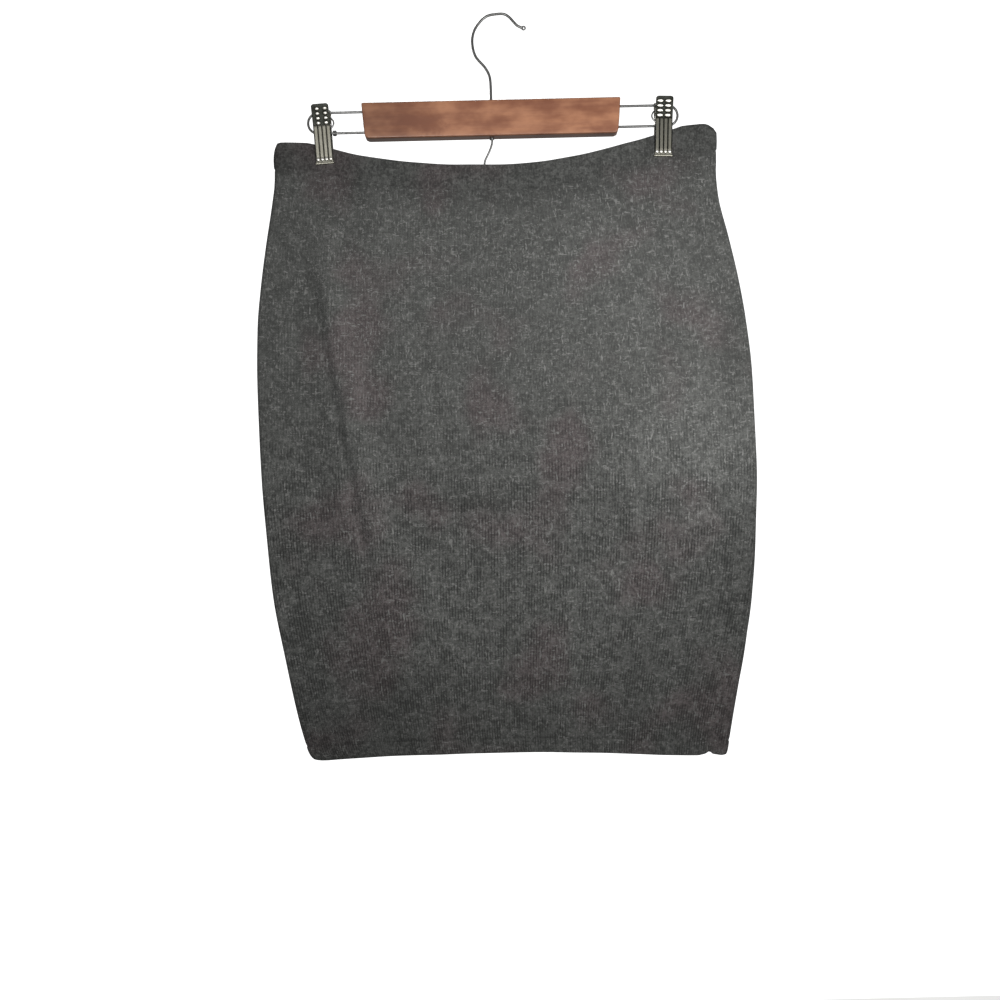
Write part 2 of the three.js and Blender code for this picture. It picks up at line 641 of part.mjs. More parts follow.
// The bar: slightly slanted ends, rounded lower corners, softened edges, and its wire bores.
function makeBar() {
  const left = CLIPS[0].barEnd + BAR_BEVEL;
  const right = CLIPS[1].barEnd - BAR_BEVEL;
  const top = -BAR_TOP - BAR_BEVEL;
  const bottom = -BAR_TOP - BAR_HEIGHT + BAR_BEVEL;
  const outline = new THREE.Shape();
  outline.moveTo(left, top);
  outline.lineTo(left + BAR_END_SLANT - 1, bottom + BAR_CORNER);
  outline.quadraticCurveTo(left + BAR_END_SLANT, bottom, left + BAR_END_SLANT + BAR_CORNER, bottom);
  outline.lineTo(right - BAR_END_SLANT - BAR_CORNER, bottom);
  outline.quadraticCurveTo(right - BAR_END_SLANT, bottom, right - BAR_END_SLANT + 1, bottom + BAR_CORNER);
  outline.lineTo(right, top);
  outline.closePath();
  const block = new THREE.ExtrudeGeometry(outline, {
    depth: BAR_THICKNESS - 2 * BAR_BEVEL,
    bevelThickness: BAR_BEVEL,
    bevelSize: BAR_BEVEL,
    bevelSegments: 2,
    curveSegments: 4,
  });
  block.rotateX(Math.PI / 2).translate(0, BAR_THICKNESS / 2 - BAR_BEVEL, 0);
  // The outline's plane is now XZ, with its own Y as Z.
  let bar = toSolid(block);
  const frameBore = FRAME_WIRE / 2 + BORE_GAP;
  const BORE_SPARE = 1;
  const BORE_PAST = 10;
  for (const clip of CLIPS) {
    const inward = -Math.sign(clip.x);
    const length = FRAME_SET_IN + BORE_SPARE + BORE_PAST;
    const middle = clip.barEnd + inward * (length / 2 - BORE_PAST);
    for (const half of [-FRAME_HALF_HEIGHT, FRAME_HALF_HEIGHT]) {
      const bore = new THREE.CylinderGeometry(frameBore, frameBore, length, 10).rotateZ(Math.PI / 2);
      bar = bar.subtract(toSolid(bore.translate(middle, 0, -FRAME_CENTRE + half)));
    }
  }
  const drill = (wire, from, to) => {
    const radius = wire / 2 + BORE_GAP;
    const bore = new THREE.CylinderGeometry(radius, radius, to - from, 10).rotateX(Math.PI / 2);
    bar = bar.subtract(toSolid(bore.translate(HOOK_X, 0, (from + to) / 2)));
  };
  drill(HOOK_WIRE, HOOK_ROUTE[0].z - BORE_SPARE, -BAR_TOP + BORE_PAST);
  drill(LOWER_HOOK_WIRE, -BAR_TOP - BAR_HEIGHT - BORE_PAST, LOWER_HOOK_ROUTE[0].z + BORE_SPARE);
  return toGeometry(bar);
}

// The hook: a wire bent round, flared at its tip, where it ends in a small closed eye.
function makeHook() {
  const EYE_RADIUS = 1.6;
  const EYE_WIRE = 0.75;
  const EYE_DROP = 0.3;
  const tip = HOOK_ROUTE[HOOK_ROUTE.length - 1];
  const eye = new THREE.TorusGeometry(EYE_RADIUS, EYE_WIRE, 6, 10).rotateX(Math.PI / 2);
  eye.translate(tip.x + EYE_RADIUS, 0, tip.z - EYE_DROP);
  return join([makeWire(routeCurve(HOOK_ROUTE), HOOK_WIRE, 44, 8), eye]);
}

// The small lower hook for another garment, with its collar under the bar.
function makeLowerHook() {
  const COLLAR_RADIUS = 2.3;
  const COLLAR_HEIGHT = 1.8;
  const collar = new THREE.CylinderGeometry(COLLAR_RADIUS, COLLAR_RADIUS, COLLAR_HEIGHT, 10);
  collar.rotateX(Math.PI / 2);
  collar.translate(HOOK_X, 0, -BAR_TOP - BAR_HEIGHT - BORE_GAP - COLLAR_HEIGHT / 2);
  return join([makeWire(routeCurve(LOWER_HOOK_ROUTE), LOWER_HOOK_WIRE, 22, 6), collar]);
}

function addPiece(parent, name, geometry, look) {
  const mesh = new THREE.Mesh(geometry, new THREE.MeshStandardMaterial(MATERIALS[look]));
  mesh.name = name;
  parent.add(mesh);
  return mesh;
}

function makeSkirt() {
  const skirt = new THREE.Group();
  addPiece(skirt, 'front_panel', makePanel(FRONT), 'cloth');
  addPiece(skirt, 'back_panel', makePanel(BACK), 'cloth');
  addPiece(skirt, 'waistband', makeWaistband(), 'band');
  return skirt;
}

// One clip: two plates, the back one turned round, and the spring between the frame wires.
function makeClip(clip) {
  const group = new THREE.Group();
  group.position.set(clip.x, 0, -CLIP_BOTTOM);
  group.rotation.y = THREE.MathUtils.degToRad(clip.lean);
  const plate = makePlate();
  addPiece(group, `clip_${clip.name}_front`, plate, 'steel');
  const back = addPiece(group, `clip_${clip.name}_back`, plate.clone(), 'steel');
  back.rotation.z = Math.PI;
  return group;
}

function makeSpring(clip) {
  const rise = CLIP_BOTTOM - FRAME_CENTRE;
  const shift = rise * Math.tan(THREE.MathUtils.degToRad(clip.lean));
  const spring = makeWire(new SpringCurve(-Math.sign(clip.x)), SPRING_WIRE, 24, 6);
  return spring.translate(clip.x + shift, 0, -FRAME_CENTRE);
}

function makeHanger() {
  const hanger = new THREE.Group();
  addPiece(hanger, 'bar', makeBar(), 'wood');
  addPiece(hanger, 'hook', makeHook(), 'steel');
  addPiece(hanger, 'lower_hook', makeLowerHook(), 'steel');
  for (const clip of CLIPS) {
    const inward = -Math.sign(clip.x);
    const frame = new FrameCurve(clip.barEnd + inward * FRAME_SET_IN, clip.frameEnd);
    addPiece(hanger, `frame_${clip.name}`, makeWire(frame, FRAME_WIRE, 32, 8), 'steel');
    addPiece(hanger, `spring_${clip.name}`, makeSpring(clip), 'steel');
    hanger.add(makeClip(clip));
  }
  return hanger;
}

const group = new THREE.Group();
group.add(makeSkirt());
group.add(makeHanger());

export default group;
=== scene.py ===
import math

import bpy
import numpy as np
from mathutils import Matrix, Vector


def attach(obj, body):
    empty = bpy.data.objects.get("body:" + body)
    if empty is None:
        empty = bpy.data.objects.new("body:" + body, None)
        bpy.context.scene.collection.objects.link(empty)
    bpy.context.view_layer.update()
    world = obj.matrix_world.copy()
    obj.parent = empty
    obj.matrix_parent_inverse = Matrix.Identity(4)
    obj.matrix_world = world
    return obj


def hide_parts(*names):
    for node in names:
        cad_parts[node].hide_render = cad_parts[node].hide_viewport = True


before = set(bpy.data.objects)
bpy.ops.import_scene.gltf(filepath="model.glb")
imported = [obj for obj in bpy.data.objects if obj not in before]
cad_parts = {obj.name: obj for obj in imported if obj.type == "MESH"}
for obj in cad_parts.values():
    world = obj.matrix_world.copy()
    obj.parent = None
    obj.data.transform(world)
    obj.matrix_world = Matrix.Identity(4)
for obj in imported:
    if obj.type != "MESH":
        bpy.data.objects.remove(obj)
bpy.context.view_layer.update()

bl_info = {
    "name": "Pencil skirt on a clip hanger",
    "version": (1, 0, 0),
    "blender": (4, 5, 0),
    "location": "View3D > Sidebar > Skirt",
    "description": "Builds a knitted pencil skirt that hangs from a wooden clip hanger",
    "category": "Add Mesh",
}

# Lengths below are in millimetres and become metres when a mesh is made.
MM = 0.001
FRONT, BACK = -1, 1

# The skirt's hanging form, as in the solids.
FOLD_RADIUS = 4.6
SEAM_LAP = 0.02
SEAM_DRIFT = 12
SEAM_DRIFT_START = 430
HEM_DEPTH = 722
SWELL_POWER = 1.5
LEAST_HALF_DEPTH = 2.6
FOLD_SET_IN = 40
FOLD_FADE_TOP = 0.25
FOLD_FADE_LOW = 0.3
CREASE_FADE = 60
NORMAL_REACH = 1.2
CLIP_WIDTH = 16.9
CLIP_HEIGHT = 56.5
CLIP_BOTTOM = 141.9
PLATE = 1.0
GRIP_HALF_DEPTH = 3.15
JAW_HALF_DEPTH = 3.45
FLAT_MARGIN = 3.2
PINCH_REACH = 31
PINCH_START = 8
PINCH_DROP = 150
BAND_PROUD = 0.8
BAND_WALL = 3.0
HEM_WALL = 3.1

# The ribs' painted light: full on the left clip, dimmed as painted shade on the right one.
CLIPS = [
    {
        "name": "left", "x": -170.6, "lean": -3.3, "frame_end": -186.6, "bar_end": -134.0,
        "curls": 3, "pads": (2.3, 1.75), "pad_shift": 0.9, "rib_painted_light": 1.0,
    },
    {
        "name": "right", "x": 157.6, "lean": 2.0, "frame_end": 172.8, "bar_end": 117.2,
        "curls": 0, "pads": (3.5, 1.85), "pad_shift": -0.3, "rib_painted_light": 0.4,
    },
]

# Side edges of the hanging skirt, by depth below the hook's bend.
SIDES = {
    "depth": (
        111.2, 113, 115.5, 119.8, 121.2, 124, 132, 143, 158, 180, 220, 260, 300,
        350, 400, 450, 500, 560, 620, 680, 706, 713, 718, 722, 725.5,
    ),
    "left": (
        -217, -217, -217, -213, -216.9, -218.1, -219.7, -220.3, -220.7, -223.7,
        -230.6, -236.5, -240.6, -242, -241.3, -239.8, -236.5, -231.4, -221, -209,
        -202, -199.4, -195.8, -189, -186,
    ),
    "right": (
        198, 203.4, 206.6, 209.4, 209.5, 209.4, 209.6, 209.8, 209.2, 210.8, 219.9,
        228.5, 234.9, 239.9, 241.5, 242.6, 240.4, 235.8, 226.7, 214.7, 209.9,
        208.6, 207.7, 206.4, 203.5,
    ),
}

# Waist edge, sagging between the clips, and hem edge, by their distance across.
WAIST_EDGE = {
    "across": (-218, -194, -183, -163, -132, -86, -39, 0, 38, 70, 101, 132, 150, 171, 185, 210),
    "depth": (
        119.9, 120.4, 121.9, 126.9, 135.6, 142.9, 146.7, 147.5, 145.4, 140.7,
        134.1, 125.6, 120.1, 114.9, 112.2, 111,
    ),
}
HEM_EDGE = {
    "across": (-190, -155, -110, -40, 10, 60, 110, 150, 180, 187, 191, 195.5, 206),
    "depth": (
        720.4, 718.5, 716.9, 715.5, 715.3, 716.7, 719.5, 722.2, 723.5, 722.2,
        720, 722.4, 724,
    ),
}

# Half the depth of the hanging tube at its middle, front to back.
BULGE = {"depth": (109, 150, 240, 400, 600, 726), "half": (9.5, 10.5, 13, 15, 14, 12.5)}

# Side, the crest's three places (across, depth), half width and height. The first twelve are
# the long soft folds of the solids, the rest narrow valleys and ridges beside them.
FOLDS = [
    (FRONT, (-164, 168), (-151, 400), (-104, 625), 17, 3.4),
    (FRONT, (-192, 190), (-184, 400), (-160, 640), 13, -1.6),
    (FRONT, (-112, 215), (-62, 430), (-12, 640), 19, 1.7),
    (FRONT, (146, 165), (132, 380), (118, 600), 22, 1.8),
    (FRONT, (178, 180), (196, 400), (176, 650), 18, 1.5),
    (FRONT, (-150, 560), (-120, 650), (-112, 760), 24, -1.3),
    (FRONT, (70, 540), (62, 640), (66, 770), 30, 1.5),
    (BACK, (-160, 170), (-140, 390), (-96, 600), 19, 3.0),
    (BACK, (-196, 200), (-186, 420), (-158, 660), 14, -1.5),
    (BACK, (150, 165), (126, 400), (88, 640), 20, 2.6),
    (BACK, (40, 230), (30, 430), (34, 640), 26, 1.4),
    (BACK, (-40, 520), (-48, 640), (-44, 770), 28, -1.5),
    (FRONT, (-203, 150), (-166, 371), (-120, 620), 6, -3.4),
    (FRONT, (-158, 300), (-128, 461), (5, 690), 16, 2.4),
    (FRONT, (-110, 210), (-61, 403), (-12, 640), 8, -2.2),
    (FRONT, (178, 230), (143, 340), (105, 420), 8, -1.8),
    (BACK, (-180, 220), (-157, 400), (-118, 590), 8, -2.6),
    (BACK, (170, 190), (150, 380), (112, 600), 8, -2.4),
]

# Creases across the cloth: side, left end, right end, depth, slope, half width and height.
# The first two are those of the solids.
CREASES = [
    (FRONT, -150, 90, 474, -0.012, 11, -1.3),
    (BACK, -120, 130, 478, 0.015, 12, -1.2),
    (FRONT, -120, 20, 475, -0.03, 5, -3.4),
    (FRONT, -245, -130, 482, 0.0, 6, -1.8),
    (FRONT, 60, 245, 478, -0.01, 8, -3.4),
    (BACK, -100, 60, 474, 0.02, 7, -2.6),
]

# Slow waves of relaxed cloth: length across, length down, phase and height.
RIPPLES = [(96, 240, 0.6, 0.35), (-71, 180, 2.1, 0.26), (43, 310, 4.0, 0.17), (-160, 66, 1.3, 0.2)]

# Soft spots of painted light and painted shade: side, across, depth, half width, half height, amount.
PAINTED_LIGHT_SPOTS = [
    (FRONT, -195, 690, 70, 70, -0.13),
    (FRONT, 238, 560, 34, 90, -0.17),
    (FRONT, 228, 330, 26, 70, -0.08),
    (FRONT, 94, 255, 50, 85, 0.12),
    (FRONT, -95, 215, 60, 65, 0.13),
    (FRONT, -62, 583, 66, 52, 0.1),
    (FRONT, 92, 548, 62, 60, 0.1),
    (FRONT, 128, 502, 60, 20, -0.08),
    (BACK, 170, 660, 70, 80, -0.1),
    (BACK, -60, 300, 80, 70, 0.08),
]
# Painted shade in the fold valleys and painted light on their crests: tone for each millimetre of lift,
# between the lowest and the highest lift that counts. Then the painted shade of the waistband and of the
# cloth just below it.
FOLD_PAINTED_SHADE = 0.045
FOLD_SHADE_LOWEST, FOLD_SHADE_HIGHEST = -4.5, 3.5
BAND_SHADE = 0.22
SAMPLES_PER_WALE = 4

# Hanger: the wooden bar and its steel wires.
BAR = {
    "left": -134.0, "right": 117.2, "top": 83.9, "height": 35, "thickness": 15,
    "slant": 2.6, "corner": 4.5, "top_edge": 1.5, "low_edge": 1.7, "end_edge": 1.4,
}
HOOK_X = -8.2
HOOK_WIRE = 2.6
LOWER_HOOK_WIRE = 2.0
FRAME_WIRE = 2.4
FRAME_CENTRE = 101.2
FRAME_HALF_HEIGHT = 10
FRAME_SET_IN = 12
SPRING_WIRE = 1.5
SPRING_INWARD = 11.2
SPRING_OUTWARD = 7.4
SPRING_HALF_HEIGHT = 7.4
HOOK_ROUTE = {
    "x": (
        HOOK_X, HOOK_X, -8.3, -9.4, -13.6, -22.2, -25.2, -23.8, -18.4, -10.4, 0, 6.8, 11.6,
        15.3, 18.9, 23.4,
    ),
    "z": (
        -98, -82, -68, -58.5, -50.2, -39.6, -27.5, -16.4, -7.4, -0.6, 1.3, 0.8, -2.4, -6.6,
        -10.4, -12.7,
    ),
}
LOWER_HOOK_ROUTE = {
    "x": (HOOK_X, HOOK_X, HOOK_X, -10.4, -13, -15.2, -16, -14.2, -9.6, -3, 0.6),
    "z": (-104, -114, -124, -131, -136.4, -141, -146.4, -152, -155.6, -155, -150.8),
}


# Properties.

def length_property(name, description, default, low, high, digits=4):
    return bpy.props.FloatProperty(
        name=name, description=description, default=default, min=low, max=high,
        precision=digits, unit="LENGTH",
    )


def count_property(name, description, default, high):
    return bpy.props.IntProperty(name=name, description=description, default=default, min=60, max=high)


def colour_property(name, description, default):
    return bpy.props.FloatVectorProperty(
        name=name, description=description, default=default, subtype="COLOR", size=3, min=0, max=1,
    )


def power_property(name, description, default):
    return bpy.props.FloatProperty(
        name=name, description=description, default=default, min=0, unit="POWER",
    )


class SkirtSizes(bpy.types.PropertyGroup):
    """Sizes of the cloth that a user may change"""

    cloth_thickness: length_property(
        "Cloth thickness", "Thickness of one layer of the knit", 0.0022, 0.001, 0.003)
    hem_turning: length_property("Hem turning", "Height of the turned hem", 0.0145, 0.006, 0.03)
    band_height: length_property(
        "Waistband height", "Height of the folded waistband", 0.0255, 0.015, 0.04)
    wales: count_property("Wales", "Columns of stitches across the front", 170, 200)
    courses: count_property("Courses", "Rows of stitches from waistband to hem", 250, 500)
    wale_relief: length_property(
        "Wale relief", "How far the columns of stitches stand out", 0.00015, 0.0, 0.0006, 5)


class SkirtColours(bpy.types.PropertyGroup):
    """Colours of the cloth, the wood and the metal"""

    yarn_dark: colour_property("Dark yarn", "Darkest fibres of the marl yarn", (0.062, 0.062, 0.060))
    yarn_light: colour_property("Light yarn", "Grey fibres of the marl yarn", (0.132, 0.131, 0.127))
    fleck: colour_property("Flecks", "Pale stray fibres on the brushed face", (0.215, 0.215, 0.207))
    wood_light: colour_property("Light wood", "Early wood of the stained bar", (0.50, 0.232, 0.126))
    wood_dark: colour_property(
        "Dark wood", "Grain lines and knots of the stained bar", (0.24, 0.088, 0.046))
    nickel: colour_property(
        "Nickel", "Polished nickel plate on the raised places", (0.33, 0.32, 0.27))
    # Near black: tarnish in the grooves together with painted shade there and over the grip.
    tarnish_and_painted_shade: colour_property("Tarnish", "Dull nickel in the grooves", (0.022, 0.023, 0.02))
    wire: colour_property("Wire", "Steel of the hook and the frame wires", (0.20, 0.20, 0.195))


class SkirtStudio(bpy.types.PropertyGroup):
    """Light and floor round the skirt"""

    key_power: power_property("Key light", "Power of the soft light on the right", 1.8)
    front_power: power_property("Front light", "Power of the soft light above the front", 2.9)
    glow_power: power_property("Glow", "Power of the small soft light on the right hip", 9.0)
    back_power: power_property("Back light", "Power of the soft light behind", 16.0)
    ambient: bpy.props.FloatProperty(
        name="Ambient", description="Brightness of the surroundings on the cloth and in the metal",
        default=0.08, min=0, max=2,
    )
    floor_drop: length_property("Floor", "Depth of the floor below the hook's bend", 1.5, 0.8, 10)


# Shapes of the cloth.

def ramp(low, high, value):
    """Smooth step: 3tt - 2ttt, where t runs from 0 at low to 1 at high."""
    t = np.clip((value - low) / (high - low), 0, 1)
    return t * t * (3 - 2 * t)


def bell(distance):
    """Bell curve: exp(-dd), where d is the distance in half widths."""
    return np.exp(-(distance**2))


def round_off(distance, radius):
    """How far a round edge falls back, in radii: 1 - sqrt(1 - (1 - d)(1 - d)), where d runs
    from 0 on the edge to 1 at a radius from it."""
    return 1 - np.sqrt(np.clip(1 - (1 - np.clip(distance / radius, 0, 1)) ** 2, 0, 1))


def look_up(table, key, column, at):
    """Cubic through a table's points, whose slope at each is the harmonic mean of its two steps'."""
    keys = np.array(table[key], float)
    values = np.array(table[column], float)
    slope = np.diff(values) / np.diff(keys)
    before, after = slope[:-1], slope[1:]
    same = before * after > 0
    total = np.where(same, before + after, 1)
    inner = np.where(same, 2 * before * after / total, 0)
    tangent = np.concatenate([slope[:1], inner, slope[-1:]])
    at = np.clip(at, keys[0], keys[-1])
    row = np.clip(np.searchsorted(keys, at, side="right") - 1, 0, len(keys) - 2)
    step = keys[row + 1] - keys[row]
    t = (at - keys[row]) / step
    return (
        (2 * t**3 - 3 * t**2 + 1) * values[row]
        + (t**3 - 2 * t**2 + t) * step * tangent[row]
        + (3 * t**2 - 2 * t**3) * values[row + 1]
        + (t**3 - t**2) * step * tangent[row + 1]
    )


def fold_lift(side, x, depth):
    """Sum of bell-shaped ridges. A fold's crest is a parabola through its three places."""
    lift = np.zeros(np.broadcast(x, depth).shape)
    for on_side, (top_x, top), (mid_x, mid), (low_x, low), width, height in FOLDS:
        t = np.clip((depth - top) / (low - top), 0, 1)
        middle = (mid - top) / (low - top)
        drift = low_x - top_x
        bend = (mid_x - top_x - drift * middle) / (middle * (1 - middle))
        crest = top_x + drift * t + bend * t * (1 - t)
        fade = ramp(0, FOLD_FADE_TOP, t) * ramp(0, FOLD_FADE_LOW, 1 - t)
        lift += np.where(side == on_side, height * fade * bell((x - crest) / width), 0)
    for on_side, left, right, centre, slope, width, height in CREASES:
        fade = ramp(left, left + CREASE_FADE, x) * ramp(-right, CREASE_FADE - right, -x)
        dip = height * fade * bell((depth - (centre + slope * x)) / width)
        lift += np.where(side == on_side, dip, 0)
    return lift


def ripple_lift(side, x, depth):
    """Sum of slow sine waves, whose phase differs between front and back."""
    lift = np.zeros(np.broadcast(x, depth).shape)
    for across, down, shift, height in RIPPLES:
        lift += height * np.sin(2 * np.pi * (x / across + depth / down) + shift + side)
    return lift


def half_depth(side, x, depth, left, right):
    """Half depth of the cloth's outside: side fold plus a bulge (1 - tt) to a power, with
    folds and ripples on it, whose dips d become r tanh(d / r) where only r is free, and
    pressed flat round each clip."""
    half_flat = (right - left) / 2 - FOLD_RADIUS
    t = np.minimum(1, np.abs(x - (left + right) / 2) / half_flat)
    swell = (1 - t * t) ** SWELL_POWER
    inside = ramp(0, FOLD_SET_IN, half_flat * (1 - t))
    half = FOLD_RADIUS + (look_up(BULGE, "depth", "half", depth) - FOLD_RADIUS) * swell
    lift = (fold_lift(side, x, depth) + ripple_lift(side, x, depth)) * inside
    room = half - LEAST_HALF_DEPTH
    half = half + np.where(lift < 0, room * np.tanh(lift / room), lift)
    cloth_at_clip = GRIP_HALF_DEPTH - BAND_PROUD
    for clip in CLIPS:
        reach = CLIP_WIDTH / 2 + FLAT_MARGIN
        near = 1 - ramp(reach, reach + PINCH_REACH, np.abs(x - clip["x"]))
        high = 1 - ramp(CLIP_BOTTOM + PINCH_START, CLIP_BOTTOM + PINCH_DROP, depth)
        half = half + (cloth_at_clip - half) * near * high
    return half


def cloth_point(around, depth):
    """A place on the cloth's outside. Around runs 0 to 1 over the front from left to right,
    and 1 to 2 over the back: a quarter circle, the flat stretch, and a quarter circle."""
    around = np.mod(around, 2)
    side = np.where(around <= 1, FRONT, BACK)
    left = look_up(SIDES, "depth", "left", depth)
    right = look_up(SIDES, "depth", "right", depth)
    quarter = math.pi * FOLD_RADIUS / 2
    flat = right - left - 2 * FOLD_RADIUS
    distance = np.where(around <= 1, around, 2 - around) * (flat + 2 * quarter)
    from_right = flat + 2 * quarter - distance
    angle = np.minimum(distance, from_right) / FOLD_RADIUS
    x_flat = left + FOLD_RADIUS + distance - quarter
    bend_x = FOLD_RADIUS * (1 - np.cos(angle))
    x = np.where(from_right < quarter, right - bend_x, x_flat)
    x = np.where(distance < quarter, left + bend_x, x)
    on_fold = (distance < quarter) | (from_right < quarter)
    half = half_depth(side, x_flat, depth, left, right)
    y = side * np.where(on_fold, FOLD_RADIUS * np.sin(angle), half)
    return np.stack([x, y, -depth * np.ones_like(x)], axis=-1)


def share_of(length, depth):
    """The share of the half way round that a length takes at a depth."""
    width = look_up(SIDES, "depth", "right", depth) - look_up(SIDES, "depth", "left", depth)
    return length / (width + (math.pi - 2) * FOLD_RADIUS)


def offset_point(around, depth, out):
    """A place moved out along the cloth's normal, or in where out is negative. The normal is
    the cross product of a small step down and one across."""
    reach = share_of(NORMAL_REACH, depth)
    across = cloth_point(around + reach, depth) - cloth_point(around - reach, depth)
    down = cloth_point(around, depth + NORMAL_REACH) - cloth_point(around, depth - NORMAL_REACH)
    normal = np.cross(down, across)
    normal /= np.linalg.norm(normal, axis=-1, keepdims=True)
    return cloth_point(around, depth) + normal * out[..., None]


def right_seam(depth):
    """The right side seam leaves the fold and drifts to the front on its way to the hem."""
    return 1 - share_of(SEAM_DRIFT * ramp(SEAM_DRIFT_START, HEM_DEPTH, depth), depth)


# Meshes.

class Surface:
    """Vertices, faces, texture places and tones of one piece, gathered grid by grid."""

    def __init__(self):
        self.points, self.uvs, self.tones, self.quads, self.tris = [], [], [], [], []
        self.count = 0

    def add_points(self, points, uv=(0, 0), tone=1.0):
        """Appends an array of places with their texture places, and returns their numbers."""
        shape = points.shape[:-1]
        index = np.arange(self.count, self.count + math.prod(shape)).reshape(shape)
        self.count += index.size
        self.points.append(points.reshape(-1, 3))
        self.uvs.append(np.broadcast_to(uv, (*shape, 2)).reshape(-1, 2))
        self.tones.append(np.broadcast_to(tone, shape).reshape(-1))
        return index

    def add_grid(self, index, close_rows=False, close_columns=False):
        """Joins a grid of vertex numbers into quads, back to its start where it is closed."""
        if close_rows:
            index = np.vstack([index, index[:1]])
        if close_columns:
            index = np.hstack([index, index[:, :1]])
        corners = [index[:-1, :-1], index[1:, :-1], index[1:, 1:], index[:-1, 1:]]
        self.quads.append(np.stack(corners, axis=-1).reshape(-1, 4))

    def add_zip(self, fine, coarse):
        """Joins a fine edge to a coarse one that has a vertex at every n-th fine vertex:
        the first half of each n fine steps fans to one coarse vertex, the rest to the next."""
        steps = (len(fine) - 1) // (len(coarse) - 1)
        half = steps // 2
        here, there = coarse[:-1], coarse[1:]
        for step in range(steps):
            tip = here if step < half else there
            self.tris.append(np.stack([fine[step:-1:steps], fine[step + 1::steps], tip], axis=-1))
        self.tris.append(np.stack([fine[half:-1:steps], there, here], axis=-1))

    def add_fan(self, ring, middle):
        """Closes a ring of vertex numbers with triangles to a place in its middle."""
        centre = self.add_points(middle[None, :])[0]
        self.tris.append(np.stack([ring, np.roll(ring, -1), np.full(len(ring), centre)], axis=-1))

    def add_slab(self, outside, inside):
        """Joins two grids of vertex numbers, a wall apart, and the rim between their edges."""
        self.add_grid(outside)
        self.add_grid(inside[:, ::-1])
        every = slice(None)
        for edge, flip in ((0, True), (-1, False), ((every, 0), False), ((every, -1), True)):
            rim = np.stack([outside[edge], inside[edge]])
            self.add_grid(rim[:, ::-1] if flip else rim)

    def make(self, name, flat_edges=None):
        """Builds the Blender mesh and object, turned so that its faces point outwards."""
        points = np.concatenate(self.points) * MM
        quads = np.concatenate(self.quads)
        tris = np.concatenate(self.tris) if self.tris else np.zeros((0, 3), int)
        fans = np.concatenate([quads[:, [0, 1, 2]], quads[:, [0, 2, 3]], tris])
        a, b, c = points[fans[:, 0]], points[fans[:, 1]], points[fans[:, 2]]
        if np.einsum("ij,ij->", a, np.cross(b, c)) < 0:
            quads, tris = quads[:, ::-1], tris[:, ::-1]
        loops = np.concatenate([quads.reshape(-1), tris.reshape(-1)]).astype(np.int32)
        sizes = np.concatenate([np.full(len(quads), 4), np.full(len(tris), 3)])
        starts = np.concatenate([[0], np.cumsum(sizes)[:-1]]).astype(np.int32)
        mesh = bpy.data.meshes.new(name)
        mesh.vertices.add(len(points))
        mesh.vertices.foreach_set("co", points.astype(np.float32).reshape(-1))
        mesh.loops.add(len(loops))
        mesh.loops.foreach_set("vertex_index", loops)
        mesh.polygons.add(len(sizes))
        mesh.polygons.foreach_set("loop_start", starts)
        uv = np.concatenate(self.uvs)[loops]
        mesh.uv_layers.new(name="knit").uv.foreach_set("vector", uv.astype(np.float32).reshape(-1))
        tone = mesh.attributes.new("tone", "FLOAT", "POINT")
        tone.data.foreach_set("value", np.concatenate(self.tones).astype(np.float32))
        mesh.update(calc_edges=True)
        mesh.validate()
        mesh.polygons.foreach_set("use_smooth", np.ones(len(mesh.polygons), bool))
        if flat_edges is not None:
            mesh.set_sharp_from_angle(angle=math.radians(flat_edges))
        piece = bpy.data.objects.new(name, mesh)
        bpy.context.scene.collection.objects.link(piece)
        return piece


def finish_piece(piece, material, node):
    """Gives a piece its material and its place on the body, and hides the solid that it stands for."""
    piece.data.materials.append(material)
    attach(piece, "root")
    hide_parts(node)


